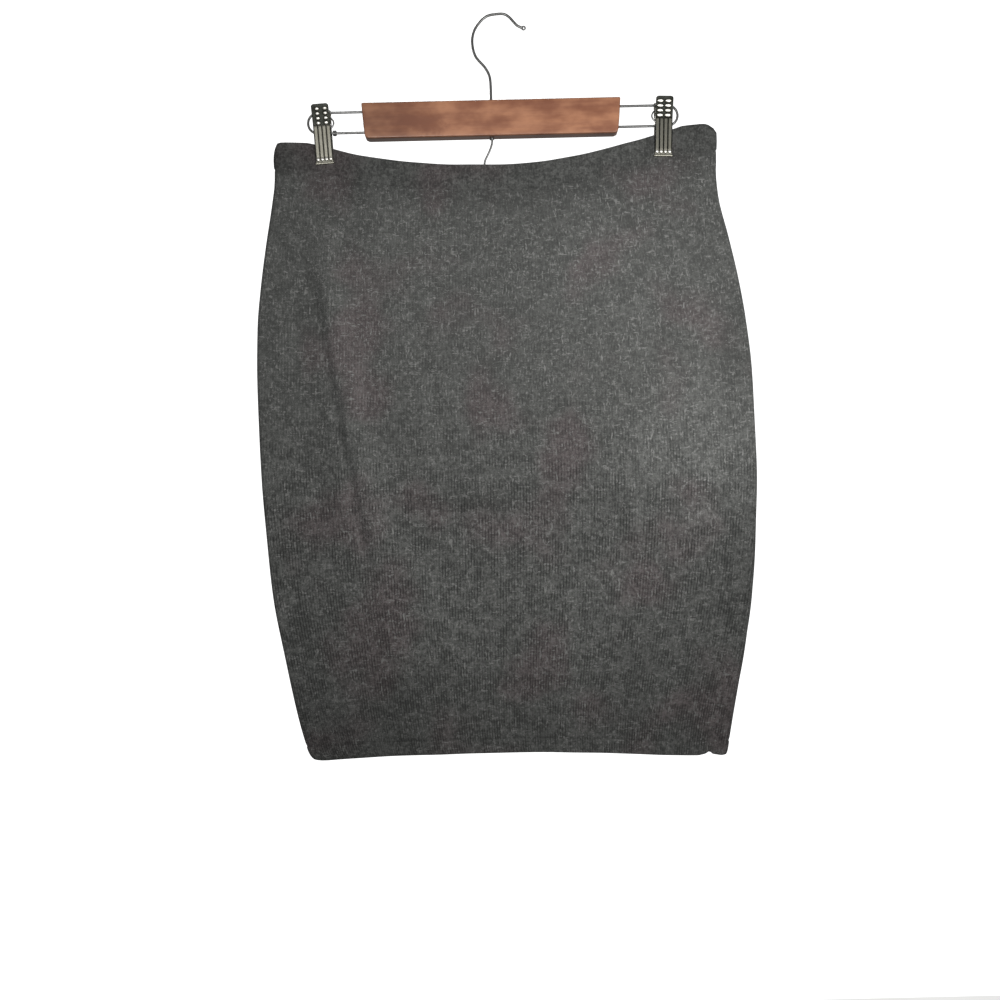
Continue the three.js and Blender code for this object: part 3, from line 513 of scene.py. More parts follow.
def make_panel(side, sizes):
    """One panel as two sheets a cloth's thickness apart. Across it, the outside is a cosine
    wave for each wale. Down it, the top dips under the waistband, and the hem is a round fold
    of the doubled cloth with a stitched groove above it."""
    cloth, turning, band, relief = (
        value / MM
        for value in (sizes.cloth_thickness, sizes.hem_turning, sizes.band_height, sizes.wale_relief)
    )
    under_band, tuck, tuck_run = 1.5, 0.4, 5.0
    tuck_rows, body_rows, hem_rows, fold_rows = (0, 0.8, 1.6, 2.6, 4.2), 70, 16, 5
    above_turning, edge_fade = 8, 2
    share = np.arange(sizes.wales * SAMPLES_PER_WALE + 1) / (sizes.wales * SAMPLES_PER_WALE)

    def around_at(share, depth):
        seam = right_seam(depth)
        lap = share_of(SEAM_LAP, depth)
        if side == FRONT:
            return (seam + 2 * lap) * share - lap
        return seam - lap + (2 - seam + 2 * lap) * share

    top_x = cloth_point(around_at(share, CLIP_BOTTOM + band), CLIP_BOTTOM)[..., 0]
    top = look_up(WAIST_EDGE, "across", "depth", top_x) + band - under_band
    low_x = cloth_point(around_at(share, HEM_DEPTH), HEM_DEPTH - turning)[..., 0]
    low = look_up(HEM_EDGE, "across", "depth", low_x)

    # Rows from the top: the tuck, the body, the stitched groove, the hem and its round fold.
    turn = np.linspace(0, math.pi / 2, fold_rows)[1:]
    above = np.linspace(turning + above_turning, HEM_WALL / 2, hem_rows)
    above = np.concatenate([above, HEM_WALL / 2 * (1 - np.sin(turn))])
    first = top + np.array(tuck_rows)[:, None]
    run = low - turning - above_turning - first[-1]
    body = first[-1] + run * np.linspace(0, 1, body_rows)[1:-1, None]
    depth = np.vstack([first, body, low - above[:, None]])
    from_low = low[None, :] - depth
    from_top = depth - top[None, :]

    seam_distance = np.minimum(share, 1 - share)[None, :] / share_of(1, depth)
    base = -0.35 * bell(seam_distance / 1.6) - tuck * (1 - ramp(0, tuck_run, from_top))
    groove = -0.55 * bell((from_low - turning) / 1.1)
    hem_swell = 0.35 * (1 - ramp(turning - 2.5, turning, from_low))
    wale = relief * np.cos(2 * math.pi * sizes.wales * share)[None, :]
    wale = wale * ramp(0, edge_fade, seam_distance) * ramp(0, edge_fade, from_low)
    hem_curl = HEM_WALL / 2 * round_off(from_low, HEM_WALL / 2)
    out = base + groove + hem_swell + wale - hem_curl

    # Tone, all painted light and shade: painted shade in the fold valleys and painted light on the crests,
    # the painted light and shade spots, and painted shade below the waistband, in the stitched groove and
    # low down, most towards the left.
    x = cloth_point(around_at(share[None, :], depth), depth)[..., 0]
    tone = 1 + FOLD_PAINTED_SHADE * np.clip(fold_lift(side, x, depth), FOLD_SHADE_LOWEST, FOLD_SHADE_HIGHEST)
    for on_side, across, down, half_width, half_height, amount in PAINTED_LIGHT_SPOTS:
        if side == on_side:
            tone = tone + amount * bell((x - across) / half_width) * bell((depth - down) / half_height)
    tone = tone - BAND_SHADE * (1 - ramp(0, 30, from_top))
    tone = tone - 0.13 * (1 - ramp(0, 110, from_low)) * (1 - 0.5 * ramp(-180, 60, x))
    tone = tone - 0.25 * bell((from_low - turning) / 0.9)

    surface = Surface()
    v = (depth - depth.min()) / (depth.max() - depth.min())
    uv = np.stack(np.broadcast_arrays(share[None, :], 1 - v), axis=-1)
    front = surface.add_points(offset_point(around_at(share[None, :], depth), depth, out), uv, tone)
    surface.add_grid(front)

    # The inside has one column for each wale. The hem's turning doubles its thickness.
    inner = (slice(None), slice(None, None, SAMPLES_PER_WALE))
    doubled = 1 - ramp(turning - 1.5, turning, from_low)
    wall = cloth + (HEM_WALL - cloth) * doubled
    inside_out = (base - wall + hem_curl + groove * 0.4)[inner]
    around = around_at(share[None, :], depth)[inner]
    back = surface.add_points(offset_point(around, depth[inner], inside_out), uv[inner], tone[inner])
    surface.add_grid(back[:, ::-1])
    surface.add_zip(front[0, ::-1], back[0, ::-1])
    surface.add_zip(front[-1], back[-1])
    surface.add_grid(np.stack([front[:, 0], back[:, 0]], axis=1))
    surface.add_grid(np.stack([back[:, -1], front[:, -1]], axis=1))
    return surface


def make_waistband(sizes):
    """A closed section carried round the waist: outer wall, round fold at the top, inner
    wall, and an edge rolled in to the seam, with a cosine wave for each wale."""
    height = sizes.band_height / MM
    relief = sizes.wale_relief / MM * 0.6
    radius = BAND_WALL / 2
    share = np.arange(2 * sizes.wales * SAMPLES_PER_WALE + 1) / (2 * sizes.wales * SAMPLES_PER_WALE)

    edge = np.array([2.5, 1.6, 0.8, 0.2])
    edge_in = np.array([0.35, 0.45, 0.7, 1.2])
    flat_reach, puff = 10, 0.3
    turn = np.linspace(0, math.pi, 9)
    wall_rows = np.linspace(radius, height - edge[0], 7)[1:-1]
    wall_down = np.concatenate([wall_rows, height - edge])
    flatten = edge_in[0] * ramp(height - flat_reach, height - edge[0], wall_rows)
    outer_out = np.concatenate([radius - flatten, radius - edge_in])
    outer_out = outer_out + puff * np.sin(np.pi * np.clip(wall_down / height, 0, 1))
    inner_out = np.concatenate([np.full(len(wall_rows), -radius), -radius + 0.4 * edge_in])
    down = np.concatenate([wall_down[::-1], radius * (1 - np.sin(turn)), wall_down])[:, None]
    out = np.concatenate([outer_out[::-1], radius * np.cos(turn), inner_out])[:, None]

    around = 2 * share[None, :]
    x = cloth_point(around, CLIP_BOTTOM)[..., 0]
    depth = look_up(WAIST_EDGE, "across", "depth", x) + down
    wale = relief * np.cos(4 * math.pi * sizes.wales * share)[None, :] * np.clip(out, 0, 1)
    places = offset_point(np.broadcast_to(around, depth.shape), depth, BAND_PROUD - radius + out + wale)
    v = np.linspace(0, 1, len(down))
    uv = np.stack(np.broadcast_arrays(around, v[:, None]), axis=-1)

    surface = Surface()
    # Painted shade: the whole band darker, and more towards both ends.
    ends = 0.14 * (1 - ramp(-215, -110, x)) + 0.09 * ramp(120, 205, x)
    surface.add_grid(surface.add_points(places, uv, 1.02 - BAND_SHADE - ends), close_rows=True)
    return surface


# Shapes of the hanger.

def smooth_route(route, per_step):
    """Places on a route: cubic steps whose slope at each place is half its neighbours' distance."""
    x, z = np.array(route["x"], float), np.array(route["z"], float)
    places = np.stack([x, np.zeros_like(x), z], axis=-1)
    padded = np.vstack([2 * places[0] - places[1], places, 2 * places[-1] - places[-2]])
    t = np.linspace(0, 1, per_step, endpoint=False)[None, :, None]
    p0, p1, p2, p3 = (padded[i:len(padded) - 3 + i, None, :] for i in range(4))
    curve = 0.5 * (
        2 * p1 + (p2 - p0) * t + (2 * p0 - 5 * p1 + 4 * p2 - p3) * t**2
        + (3 * p1 - p0 - 3 * p2 + p3) * t**3
    )
    return np.vstack([curve.reshape(-1, 3), places[-1:]])


def add_wire(surface, route, diameter, sides=14, end_rows=4):
    """A circle carried along a route, square to it. Its radius falls off as a quarter circle
    at both ends, which closes them round."""
    radius = diameter / 2
    forward = np.gradient(route, axis=0)
    forward /= np.linalg.norm(forward, axis=1, keepdims=True)
    turn = np.linspace(0, math.pi / 2, end_rows + 1)[:-1]
    start = route[0] - forward[0] * (radius * np.cos(turn))[:, None]
    end = route[-1] + forward[-1] * (radius * np.cos(turn[::-1]))[:, None]
    spine = np.vstack([start, route, end])
    forward = np.pad(forward, ((end_rows, end_rows), (0, 0)), mode="edge")
    size = np.pad(np.full(len(route), radius), end_rows)
    size[:end_rows] = radius * np.maximum(np.sin(turn), 0.02)
    size[-end_rows:] = size[:end_rows][::-1]
    side = np.cross(forward, [0.0, 1.0, 0.0])
    side /= np.maximum(np.linalg.norm(side, axis=1, keepdims=True), 1e-9)
    up = np.cross(side, forward)
    angle = (np.arange(sides) * 2 * math.pi / sides)[None, :, None]
    ring = np.cos(angle) * side[:, None, :] + np.sin(angle) * up[:, None, :]
    index = surface.add_points(spine[:, None, :] + ring * size[:, None, None])
    surface.add_grid(index, close_columns=True)
    surface.add_fan(index[0, ::-1], spine[0])
    surface.add_fan(index[-1], spine[-1])


def add_ring(surface, centre, radius, wire, order=(0, 1, 2), sides=12, steps=36):
    """A circle carried round a circle: a torus in the hanger's plane, whose axes an order may
    exchange."""
    a = np.arange(steps) * 2 * math.pi / steps
    b = np.arange(sides) * 2 * math.pi / sides
    a, b = np.meshgrid(a, b, indexing="ij")
    reach = radius + wire / 2 * np.cos(b)
    places = np.stack([reach * np.cos(a), wire / 2 * np.sin(b), reach * np.sin(a)], axis=-1)
    index = surface.add_points(places[..., order] + np.array(centre, float))
    surface.add_grid(index, close_rows=True, close_columns=True)


def bar_section(inset, corner_steps=7, flat_steps=8, least_radius=0.3):
    """Loop of the bar's cross-section, set in: four quarter circles (out, up) and the straight
    lines between them."""
    half_high, half_thick = BAR["height"] / 2, BAR["thickness"] / 2
    corners = [
        (1, 1, BAR["top_edge"], 0), (-1, 1, BAR["top_edge"], math.pi / 2),
        (-1, -1, BAR["low_edge"], math.pi), (1, -1, BAR["low_edge"], 3 * math.pi / 2),
    ]
    arcs = []
    for across, up, radius, start in corners:
        radius = max(radius - inset, least_radius)
        angle = start + np.linspace(0, math.pi / 2, corner_steps)
        centre = [across * (half_thick - inset - radius), up * (half_high - inset - radius)]
        arcs.append(np.array(centre) + radius * np.stack([np.cos(angle), np.sin(angle)], axis=-1))
    t = np.linspace(0, 1, flat_steps, endpoint=False)[1:, None]
    loop = []
    for arc, after in zip(arcs, arcs[1:] + arcs[:1]):
        loop += [arc, arc[-1] + (after[0] - arc[-1]) * t]
    return np.vstack(loop)


def make_bar():
    """A rounded rectangle carried along the bar. Its size shrinks as a quarter circle at both
    ends, its underside curves up there, and the ends lean in towards the bottom."""
    end_steps, length_steps, low_start = 5, 90, 0.55
    edge = BAR["end_edge"]
    length = BAR["right"] - BAR["left"]
    turn = np.linspace(0, math.pi / 2, end_steps)
    end, end_inset = edge * (1 - np.cos(turn)), edge * (1 - np.sin(turn))
    middle = np.linspace(edge, length - edge, length_steps)[1:-1]
    along = np.concatenate([end, middle, length - end[::-1]])
    inset = np.concatenate([end_inset, np.zeros(len(middle)), end_inset[::-1]])
    loops = np.stack([bar_section(value) for value in inset])
    rise = BAR["corner"] * round_off(np.minimum(along, length - along), BAR["corner"])
    low_share = np.clip(0.5 - loops[..., 1] / BAR["height"], 0, 1)
    up = loops[..., 1] + rise[:, None] * ramp(low_start, 1, low_share)
    lean = BAR["slant"] * low_share * (1 - 2 * along[:, None] / length)
    x = BAR["left"] + along[:, None] + lean
    places = np.stack([x, loops[..., 0], -BAR["top"] - BAR["height"] / 2 + up], axis=-1)
    surface = Surface()
    index = surface.add_points(places)
    surface.add_grid(index, close_columns=True)
    for row, order in ((0, -1), (-1, 1)):
        middle = places[row].mean(axis=0)
        ring = index[row]
        for share in (0.9, 0.5):
            inner = surface.add_points(middle + (places[row] - middle) * share)
            surface.add_grid(np.stack([ring, inner])[::order], close_columns=True)
            ring = inner
        surface.add_fan(ring[::order], middle)
    return surface


def frame_route(clip):
    """Places on a clip frame's wire: in from the bar, half round the outer end, and back."""
    outward = math.copysign(1, clip["x"])
    bar_x = clip["bar_end"] - outward * FRAME_SET_IN
    straight = abs(clip["frame_end"] - bar_x) - FRAME_HALF_HEIGHT
    run = np.linspace(0, straight, 12)[:-1]
    angle = np.linspace(-math.pi / 2, math.pi / 2, 25)
    x = np.concatenate([run, straight + FRAME_HALF_HEIGHT * np.cos(angle), run[::-1]])
    up = np.concatenate([-np.ones(len(run)), np.sin(angle), np.ones(len(run))])
    return np.stack([bar_x + outward * x, 0 * x, FRAME_HALF_HEIGHT * up - FRAME_CENTRE], axis=-1)


def spring_route(clip, open_angle=0.1):
    """Places on a clip's spring: two half ovals, longer towards the bar, open behind the plates."""
    shift = (CLIP_BOTTOM - FRAME_CENTRE) * math.tan(math.radians(clip["lean"]))
    angle = np.linspace(-math.pi / 2 + open_angle, 1.5 * math.pi - open_angle, 60)
    along = np.cos(angle)
    reach = np.where(along * clip["x"] < 0, SPRING_INWARD, SPRING_OUTWARD)
    x = clip["x"] + shift + reach * along
    return np.stack([x, 0 * x, -FRAME_CENTRE + SPRING_HALF_HEIGHT * np.sin(angle)], axis=-1)


def to_hanger(x, out, z, clip, side):
    """Places of a plate, leaned with its clip and set at the clip's foot."""
    lean = math.radians(clip["lean"])
    turned = -side * x
    return np.stack([
        clip["x"] + turned * math.cos(lean) + z * math.sin(lean),
        side * out,
        -CLIP_BOTTOM - turned * math.sin(lean) + z * math.cos(lean),
    ], axis=-1)


def dome(x, z):
    """Height of a half ball of radius 1: sqrt(1 - xx - zz), and 0 round it."""
    return np.sqrt(np.clip(1 - x**2 - z**2, 0, 1))


def make_plate(clip, side):
    """A clip plate: a bent profile carried across it, with ribs as half ovals, studs and pads
    as domes, a rolled lip at its foot, and round corners at its top."""
    half, corner, foot_z = CLIP_WIDTH / 2, 2.2, -0.3
    bend_height, bend_out, lever_out = 36.5, 1.3, 6.2
    rib_pitch, rib_half, rib_rise, rib_low = 4.05, 1.83, 0.75, 4.6
    stud_radius, stud_rise, stud_height = 1.9, 1.3, 4.5
    pad_rise, pad_top, pad_pitch, pad_across = 1.0, 4.6, 4.25, 3.8
    lip_rise, lip_height, lip_past = 0.9, 2.0, 0.5
    edge_round, edge_fall, groove_depth = 0.6, 0.45, 0.7
    inside_tone, flange_tone = 0.6, 0.5
    grip_low = bend_height + 1.6
    height = np.concatenate([
        np.linspace(foot_z, 6, 26), np.linspace(6.4, 34, 36), np.linspace(34.5, CLIP_HEIGHT, 64),
    ])
    z, share = np.meshgrid(height, np.linspace(-1, 1, 69), indexing="ij")
    corner_in = corner * round_off(CLIP_HEIGHT - z, corner)
    is_lip = 1 - ramp(lip_height - 0.5, lip_height, z - foot_z)
    x = share * (half - corner_in + lip_past * is_lip)

    relief = np.zeros_like(x)
    # Domes of the studs and pads, which get a painted highlight.
    painted_glint = np.zeros_like(x)
    for number in range(4):
        rib_x = (number - 1.5) * rib_pitch
        run = ramp(rib_low, rib_low + 0.8, z) * (1 - ramp(grip_low - 2.2, grip_low - 0.3, z))
        swell = np.clip(1 - np.abs((x - rib_x) / rib_half) ** 6, 0, 1)
        relief = np.maximum(relief, rib_rise * run * swell)
        stud = dome((x - rib_x) / stud_radius, (z - stud_height) / stud_radius)
        relief = np.maximum(relief, stud_rise * stud)
        painted_glint = np.maximum(painted_glint, stud)
    pad_wide, pad_high = clip["pads"]
    for row in range(4):
        for pad_x in (-pad_across, pad_across):
            across = (x - pad_x + side * clip["pad_shift"]) / pad_wide
            pad = dome(across, (z - (CLIP_HEIGHT - pad_top - pad_pitch * row)) / pad_high)
            relief = np.maximum(relief, pad_rise * pad)
            painted_glint = np.maximum(painted_glint, pad)
    relief = np.maximum(relief, lip_rise * dome((z - foot_z - lip_height / 2) / (lip_height / 2), 0))
    edge_in = edge_fall * round_off((1 - np.abs(share)) * half, edge_round)

    def inner_y(z):
        """Half depth of the plate's inside: the jaw leans out to the bend, and the lever more."""
        jaw = JAW_HALF_DEPTH + bend_out * np.clip(z / bend_height, 0, 1)
        return jaw + lever_out * np.clip((z - bend_height) / (CLIP_HEIGHT - bend_height), 0, 1)

    outer_y = inner_y(z) + PLATE + relief - edge_in
    # Tone: lighter at the foot and bright on the relief; painted shade over the grip above grip_low and on
    # the right clip's ribs.
    foot = 0.45 * (1 - ramp(5, 6, z))
    raised = np.clip(relief / groove_depth, 0, 1)
    raised = raised * (1 - 0.6 * ramp(grip_low - 0.5, grip_low + 0.5, z))
    raised = raised * np.where((z > 7) & (z < grip_low), clip["rib_painted_light"], 1)
    # Above 1, the tone gives a painted highlight, near white, on the studs' and pads' domes.
    tone = np.maximum(raised, foot) + 1.2 * ramp(0.6, 0.85, painted_glint)
    uv = np.stack([(share + 1) / 2, z / CLIP_HEIGHT], axis=-1)

    surface = Surface()
    surface.add_slab(
        surface.add_points(to_hanger(x, outer_y, z, clip, side), uv, tone),
        surface.add_points(to_hanger(x, inner_y(z), z, clip, side), uv, inside_tone),
    )

    # Side flanges that bear on the lower frame wire: thin walls with a rounded free corner.
    flange_low, flange_high, flange_inset, wire_gap, least_reach = 28.6, 40, 0.15, 0.38, 0.25
    z, t = np.meshgrid(np.linspace(flange_low, flange_high, 12), np.linspace(0, 1, 6), indexing="ij")
    front_y = inner_y(z) + PLATE / 2
    high_share = (z - (flange_low + flange_high) / 2) / ((flange_high - flange_low) / 2)
    reach = dome(high_share, 0) * (1 - least_reach) + least_reach
    y = front_y + (FRAME_WIRE / 2 + wire_gap - front_y) * t * reach
    for end in (-1, 1):
        faces = []
        for wall in (0, PLATE):
            x = end * (half - flange_inset - wall) * np.ones_like(y)
            faces.append(surface.add_points(to_hanger(x, y, z, clip, side), tone=flange_tone))
        surface.add_slab(*(faces if end * side < 0 else faces[::-1]))
    return surface


def add_collar(surface, x, top, radius, height, sides=28):
    """A short ring: a rounded section turned about the upright through x."""
    hole, edge, bevel = 0.9, 0.35, 0.1
    upper = np.array([(hole, 0), (radius - edge, 0), (radius - bevel, -bevel), (radius, -edge)])
    lower = upper[::-1] * (1, -1) - (0, height)
    profile = np.vstack([upper, lower])[:, None, :]
    angle = (np.arange(sides) * 2 * math.pi / sides)[None, :]
    places = np.stack(np.broadcast_arrays(
        x + profile[..., 0] * np.cos(angle), profile[..., 0] * np.sin(angle), top + profile[..., 1],
    ), axis=-1)
    surface.add_grid(surface.add_points(places)[::-1], close_rows=True, close_columns=True)


# Materials.

class Value:
    """An output of a shader node. What is done with it makes the next node in the same tree."""

    def __init__(self, node, output=0):
        self.tree = node.id_data
        self.socket = node.outputs[output]

    def calculate(self, operation, other=0.0, clamp=False):
        node = add_node(self.tree, "ShaderNodeMath", {0: self, 1: other}, operation=operation)
        node.use_clamp = clamp
        return Value(node)

    def __add__(self, other):
        return self.calculate("ADD", other)

    def __sub__(self, other):
        return self.calculate("SUBTRACT", other)

    def __mul__(self, other):
        return self.calculate("MULTIPLY", other)

    def vector(self, operation, other=(0, 0, 0), output=0):
        node = add_node(self.tree, "ShaderNodeVectorMath", {0: self, 1: other}, operation=operation)
        return Value(node, output)

    def step(self, low, high, to_low=0.0, to_high=1.0):
        """A smooth step from one range to another."""
        inputs = {"Value": self, "From Min": low, "From Max": high, "To Min": to_low, "To Max": to_high}
        node = add_node(self.tree, "ShaderNodeMapRange", inputs, interpolation_type="SMOOTHSTEP")
        return Value(node, "Result")

    def noise(self, scale, detail=2, roughness=0.5, distortion=0, squeeze=(1, 1, 1), shift=(0, 0, 0)):
        """Noise at a scale over this place, squeezed along the axes."""
        mapped = {"Vector": self, "Scale": squeeze, "Location": shift}
        node = add_node(self.tree, "ShaderNodeTexNoise", {
            "Vector": Value(add_node(self.tree, "ShaderNodeMapping", mapped)), "Scale": scale,
            "Detail": detail, "Roughness": roughness, "Distortion": distortion,
        })
        return Value(node, "Fac")

    def bump(self, distance, strength):
        """The normal of a surface that has this height."""
        inputs = {"Height": self, "Distance": distance, "Strength": strength}
        return Value(add_node(self.tree, "ShaderNodeBump", inputs))


def set_inputs(node, inputs):
    """Links or sets a node's inputs, by name or number."""
    for name, value in inputs.items():
        if isinstance(value, Value):
            node.id_data.links.new(value.socket, node.inputs[name])
        else:
            node.inputs[name].default_value = value


def add_node(tree, kind, inputs=None, **settings):
    node = tree.nodes.new(kind)
    for name, value in settings.items():
        setattr(node, name, value)
    set_inputs(node, inputs or {})
    return node


def blend_colours(tree, share, first, second, mode="MIX"):
    inputs = {0: share, 6: first, 7: second}
    return Value(add_node(tree, "ShaderNodeMix", inputs, data_type="RGBA", blend_type=mode), 2)


def multiply_colours(tree, first, second):
    return blend_colours(tree, 1.0, first, second, mode="MULTIPLY")


def object_place(tree):
    return Value(add_node(tree, "ShaderNodeTexCoord"), "Object")


def painted_tone(tree):
    return Value(add_node(tree, "ShaderNodeAttribute", attribute_name="tone"), "Fac")


def opaque(colour):
    return (*colour, 1.0)


def stitch_values(place, wales, courses):
    """Stitches: each wale is two legs that slant up to it, and each leg is a row of strands."""
    axes = add_node(place.tree, "ShaderNodeSeparateXYZ", {0: place})
    wale = Value(axes, 0) * wales
    from_middle = ((wale + 0.5).calculate("FRACT") - 0.5).calculate("ABSOLUTE") * 2.0
    slanted = Value(axes, 1) * courses + from_middle * 0.7
    strand = (slanted.calculate("FRACT") * math.pi).calculate("SINE")
    leg = (from_middle - 0.5).calculate("ABSOLUTE").step(0.5, 0.1)
    return {"Height": leg * (strand * 0.6 + 0.4), "Groove": from_middle.step(0.55, 1.0)}


def marl_values(place, flecks):
    """Marl yarn: slow patches, blotches, grains, and pale dashes up and across the cloth."""
    blotch = place.noise(75, distortion=0.3)
    mottle = place.noise(290, roughness=0.6, distortion=0.5)
    grain = place.noise(560, roughness=0.7)
    upright = place.noise(560, detail=1, distortion=1.2, squeeze=(1, 1, 0.28))
    level = place.noise(560, detail=1, distortion=1.2, squeeze=(0.28, 1, 1), shift=(0.3, 0.7, 0.1))
    pit = place.noise(480, detail=1, squeeze=(1, 1, 0.6), shift=(0.5, 0.2, 0.9))
    density = mottle.step(0.35, 0.65, 0.04, -0.03)
    dashes_up, dashes_level = ((dashes - density).step(0.59, 0.75) for dashes in (upright, level))
    shade = (mottle * 0.47 + grain * 0.33 + blotch * 0.20).step(0.385, 0.615)
    return {
        "Shade": shade.calculate("SUBTRACT", pit.step(0.58, 0.74, 0.0, 0.5), clamp=True),
        "Fleck": dashes_up.calculate("MAXIMUM", dashes_level).calculate("MULTIPLY", flecks, clamp=True),
        "Patch": place.noise(11),
        "Fuzz": upright * 0.4 + mottle * 0.6,
        "Groove Shade": blotch.step(0.38, 0.62),
    }


def handling_values(place, amount):
    """Marks of use on metal: soft smudges and fine scratches."""
    smudge = place.noise(130, detail=4, roughness=0.6).step(0.35, 0.7)
    scratch = place.noise(900, squeeze=(1, 1, 0.12)).step(0.58, 0.7)
    return {
        "Smudge": smudge.calculate("MULTIPLY", amount, clamp=True),
        "Scratch": scratch.calculate("MULTIPLY", amount, clamp=True),
    }


# What fills each shared group, and its inputs, where None stands for a vector.
SHARED_GROUPS = {
    "Knit stitches": (stitch_values, {"Place": None, "Wales": 170.0, "Courses": 250.0}),
    "Brushed marl": (marl_values, {"Place": None, "Flecks": 1.0}),
    "Handling marks": (handling_values, {"Place": None, "Amount": 1.0}),
}


def shared_group(name):
    """The shader group of that name, made once."""
    if name in bpy.data.node_groups:
        return bpy.data.node_groups[name]
    fill, inputs = SHARED_GROUPS[name]
    group = bpy.data.node_groups.new(name, "ShaderNodeTree")
    for label, default in inputs.items():
        kind = "NodeSocketVector" if default is None else "NodeSocketFloat"
        socket = group.interface.new_socket(name=label, in_out="INPUT", socket_type=kind)
        if default is not None:
            socket.default_value = default
    entry = group.nodes.new("NodeGroupInput")
    values = fill(*(Value(entry, label) for label in inputs))
    for label in values:
        group.interface.new_socket(name=label, in_out="OUTPUT", socket_type="NodeSocketFloat")
    set_inputs(group.nodes.new("NodeGroupOutput"), values)
    return group


def use_group(tree, name, inputs):
    """A node with a shared group in it. Returns its outputs by name."""
    node = add_node(tree, "ShaderNodeGroup", node_tree=shared_group(name))
    set_inputs(node, inputs)
    return {socket.name: Value(node, socket.name) for socket in node.outputs}


def new_material(name, values):
    """A material with one Principled shader, whose uniform values are on its own sockets."""
    material = bpy.data.materials.new(name)
    material.use_nodes = True
    shader = material.node_tree.nodes["Principled BSDF"]
    set_inputs(shader, values)
    return material, material.node_tree, shader


def knit_material(name, wales, courses, flecks, stitch_depth, low_groove_shade):
    """Brushed marl knit: dark and grey fibres, more even where the nap is thick above, with pale
    flecks; painted shade between the wales, stronger below, a painted highlight on the stitches'
    tops, and the painted light and shade of the tone attribute."""
    colours = bpy.context.scene.skirt_colours
    dark, light = opaque(colours.yarn_dark), opaque(colours.yarn_light)
    warm, cool = (1.09, 0.97, 0.99, 1.0), (0.98, 1.005, 0.985, 1.0)
    values = {"Roughness": 0.95, "Specular IOR Level": 0.12, "Sheen Weight": 0.06, "Sheen Roughness": 0.6}
    material, tree, shader = new_material(name, values)
    uv = Value(add_node(tree, "ShaderNodeUVMap", uv_map="knit"))
    height_share = Value(add_node(tree, "ShaderNodeSeparateXYZ", {0: uv}), 1)
    stitches = use_group(tree, "Knit stitches", {"Place": uv, "Wales": wales, "Courses": courses})
    marl = use_group(tree, "Brushed marl", {"Place": object_place(tree), "Flecks": flecks})
    even_yarn = blend_colours(tree, 0.42, dark, light)
    yarn = blend_colours(tree, marl["Shade"], dark, light)
    yarn = blend_colours(tree, height_share.step(0.35, 0.75, 0.0, 0.34), yarn, even_yarn)
    yarn = multiply_colours(tree, yarn, blend_colours(tree, marl["Patch"].step(0.48, 0.66), cool, warm))
    yarn = blend_colours(tree, marl["Fleck"], yarn, opaque(colours.fleck))
    groove_shade_amount = marl["Groove Shade"].step(0.0, 1.0, 0.20, 0.04)
    groove_shade_by_height = height_share.step(0.68, 0.34, 0.8, low_groove_shade)
    # Painted shade: darker in the grooves between the wales, more in the lower part, and a painted
    # highlight on the stitches' tops; times the painted tone.
    shadow = stitches["Height"].step(0.0, 0.7, 0.96, 1.02) - stitches["Groove"] * (groove_shade_amount * groove_shade_by_height)
    height = stitches["Height"] + marl["Fuzz"] * 1.2
    set_inputs(shader, {
        "Base Color": multiply_colours(tree, yarn, shadow * painted_tone(tree)),
        "Normal": height.bump(stitch_depth, 1.0),
    })
    return material


def metal_material(name, bright, dull, roughness, marks):
    """Plated steel: bright where it is raised, dark with tarnish and painted shade in its grooves,
    near white as a painted highlight where the tone passes 1, smudged and scratched.
    """
    # The near white of the painted highlight, and the colour that smudges multiply by.
    painted_highlight_colour, dimmed = (0.9, 0.89, 0.85, 1.0), (0.78, 0.77, 0.74, 1.0)
    material, tree, shader = new_material(name, {"Metallic": 1.0, "Specular IOR Level": 0.5})
    marked = use_group(tree, "Handling marks", {"Place": object_place(tree), "Amount": marks})
    smudge, scratch = marked["Smudge"], marked["Scratch"]
    tone = painted_tone(tree)
    colour = blend_colours(tree, tone.step(0.05, 0.75), opaque(dull), opaque(bright))
    colour = blend_colours(tree, tone.step(1.0, 1.8, 0.0, 0.9), colour, painted_highlight_colour)
    set_inputs(shader, {
        "Base Color": blend_colours(tree, smudge, colour, multiply_colours(tree, colour, dimmed)),
        "Roughness": smudge * 0.16 + roughness + scratch * 0.1,
        "Normal": scratch.bump(0.00002, 0.6),
    })
    return material


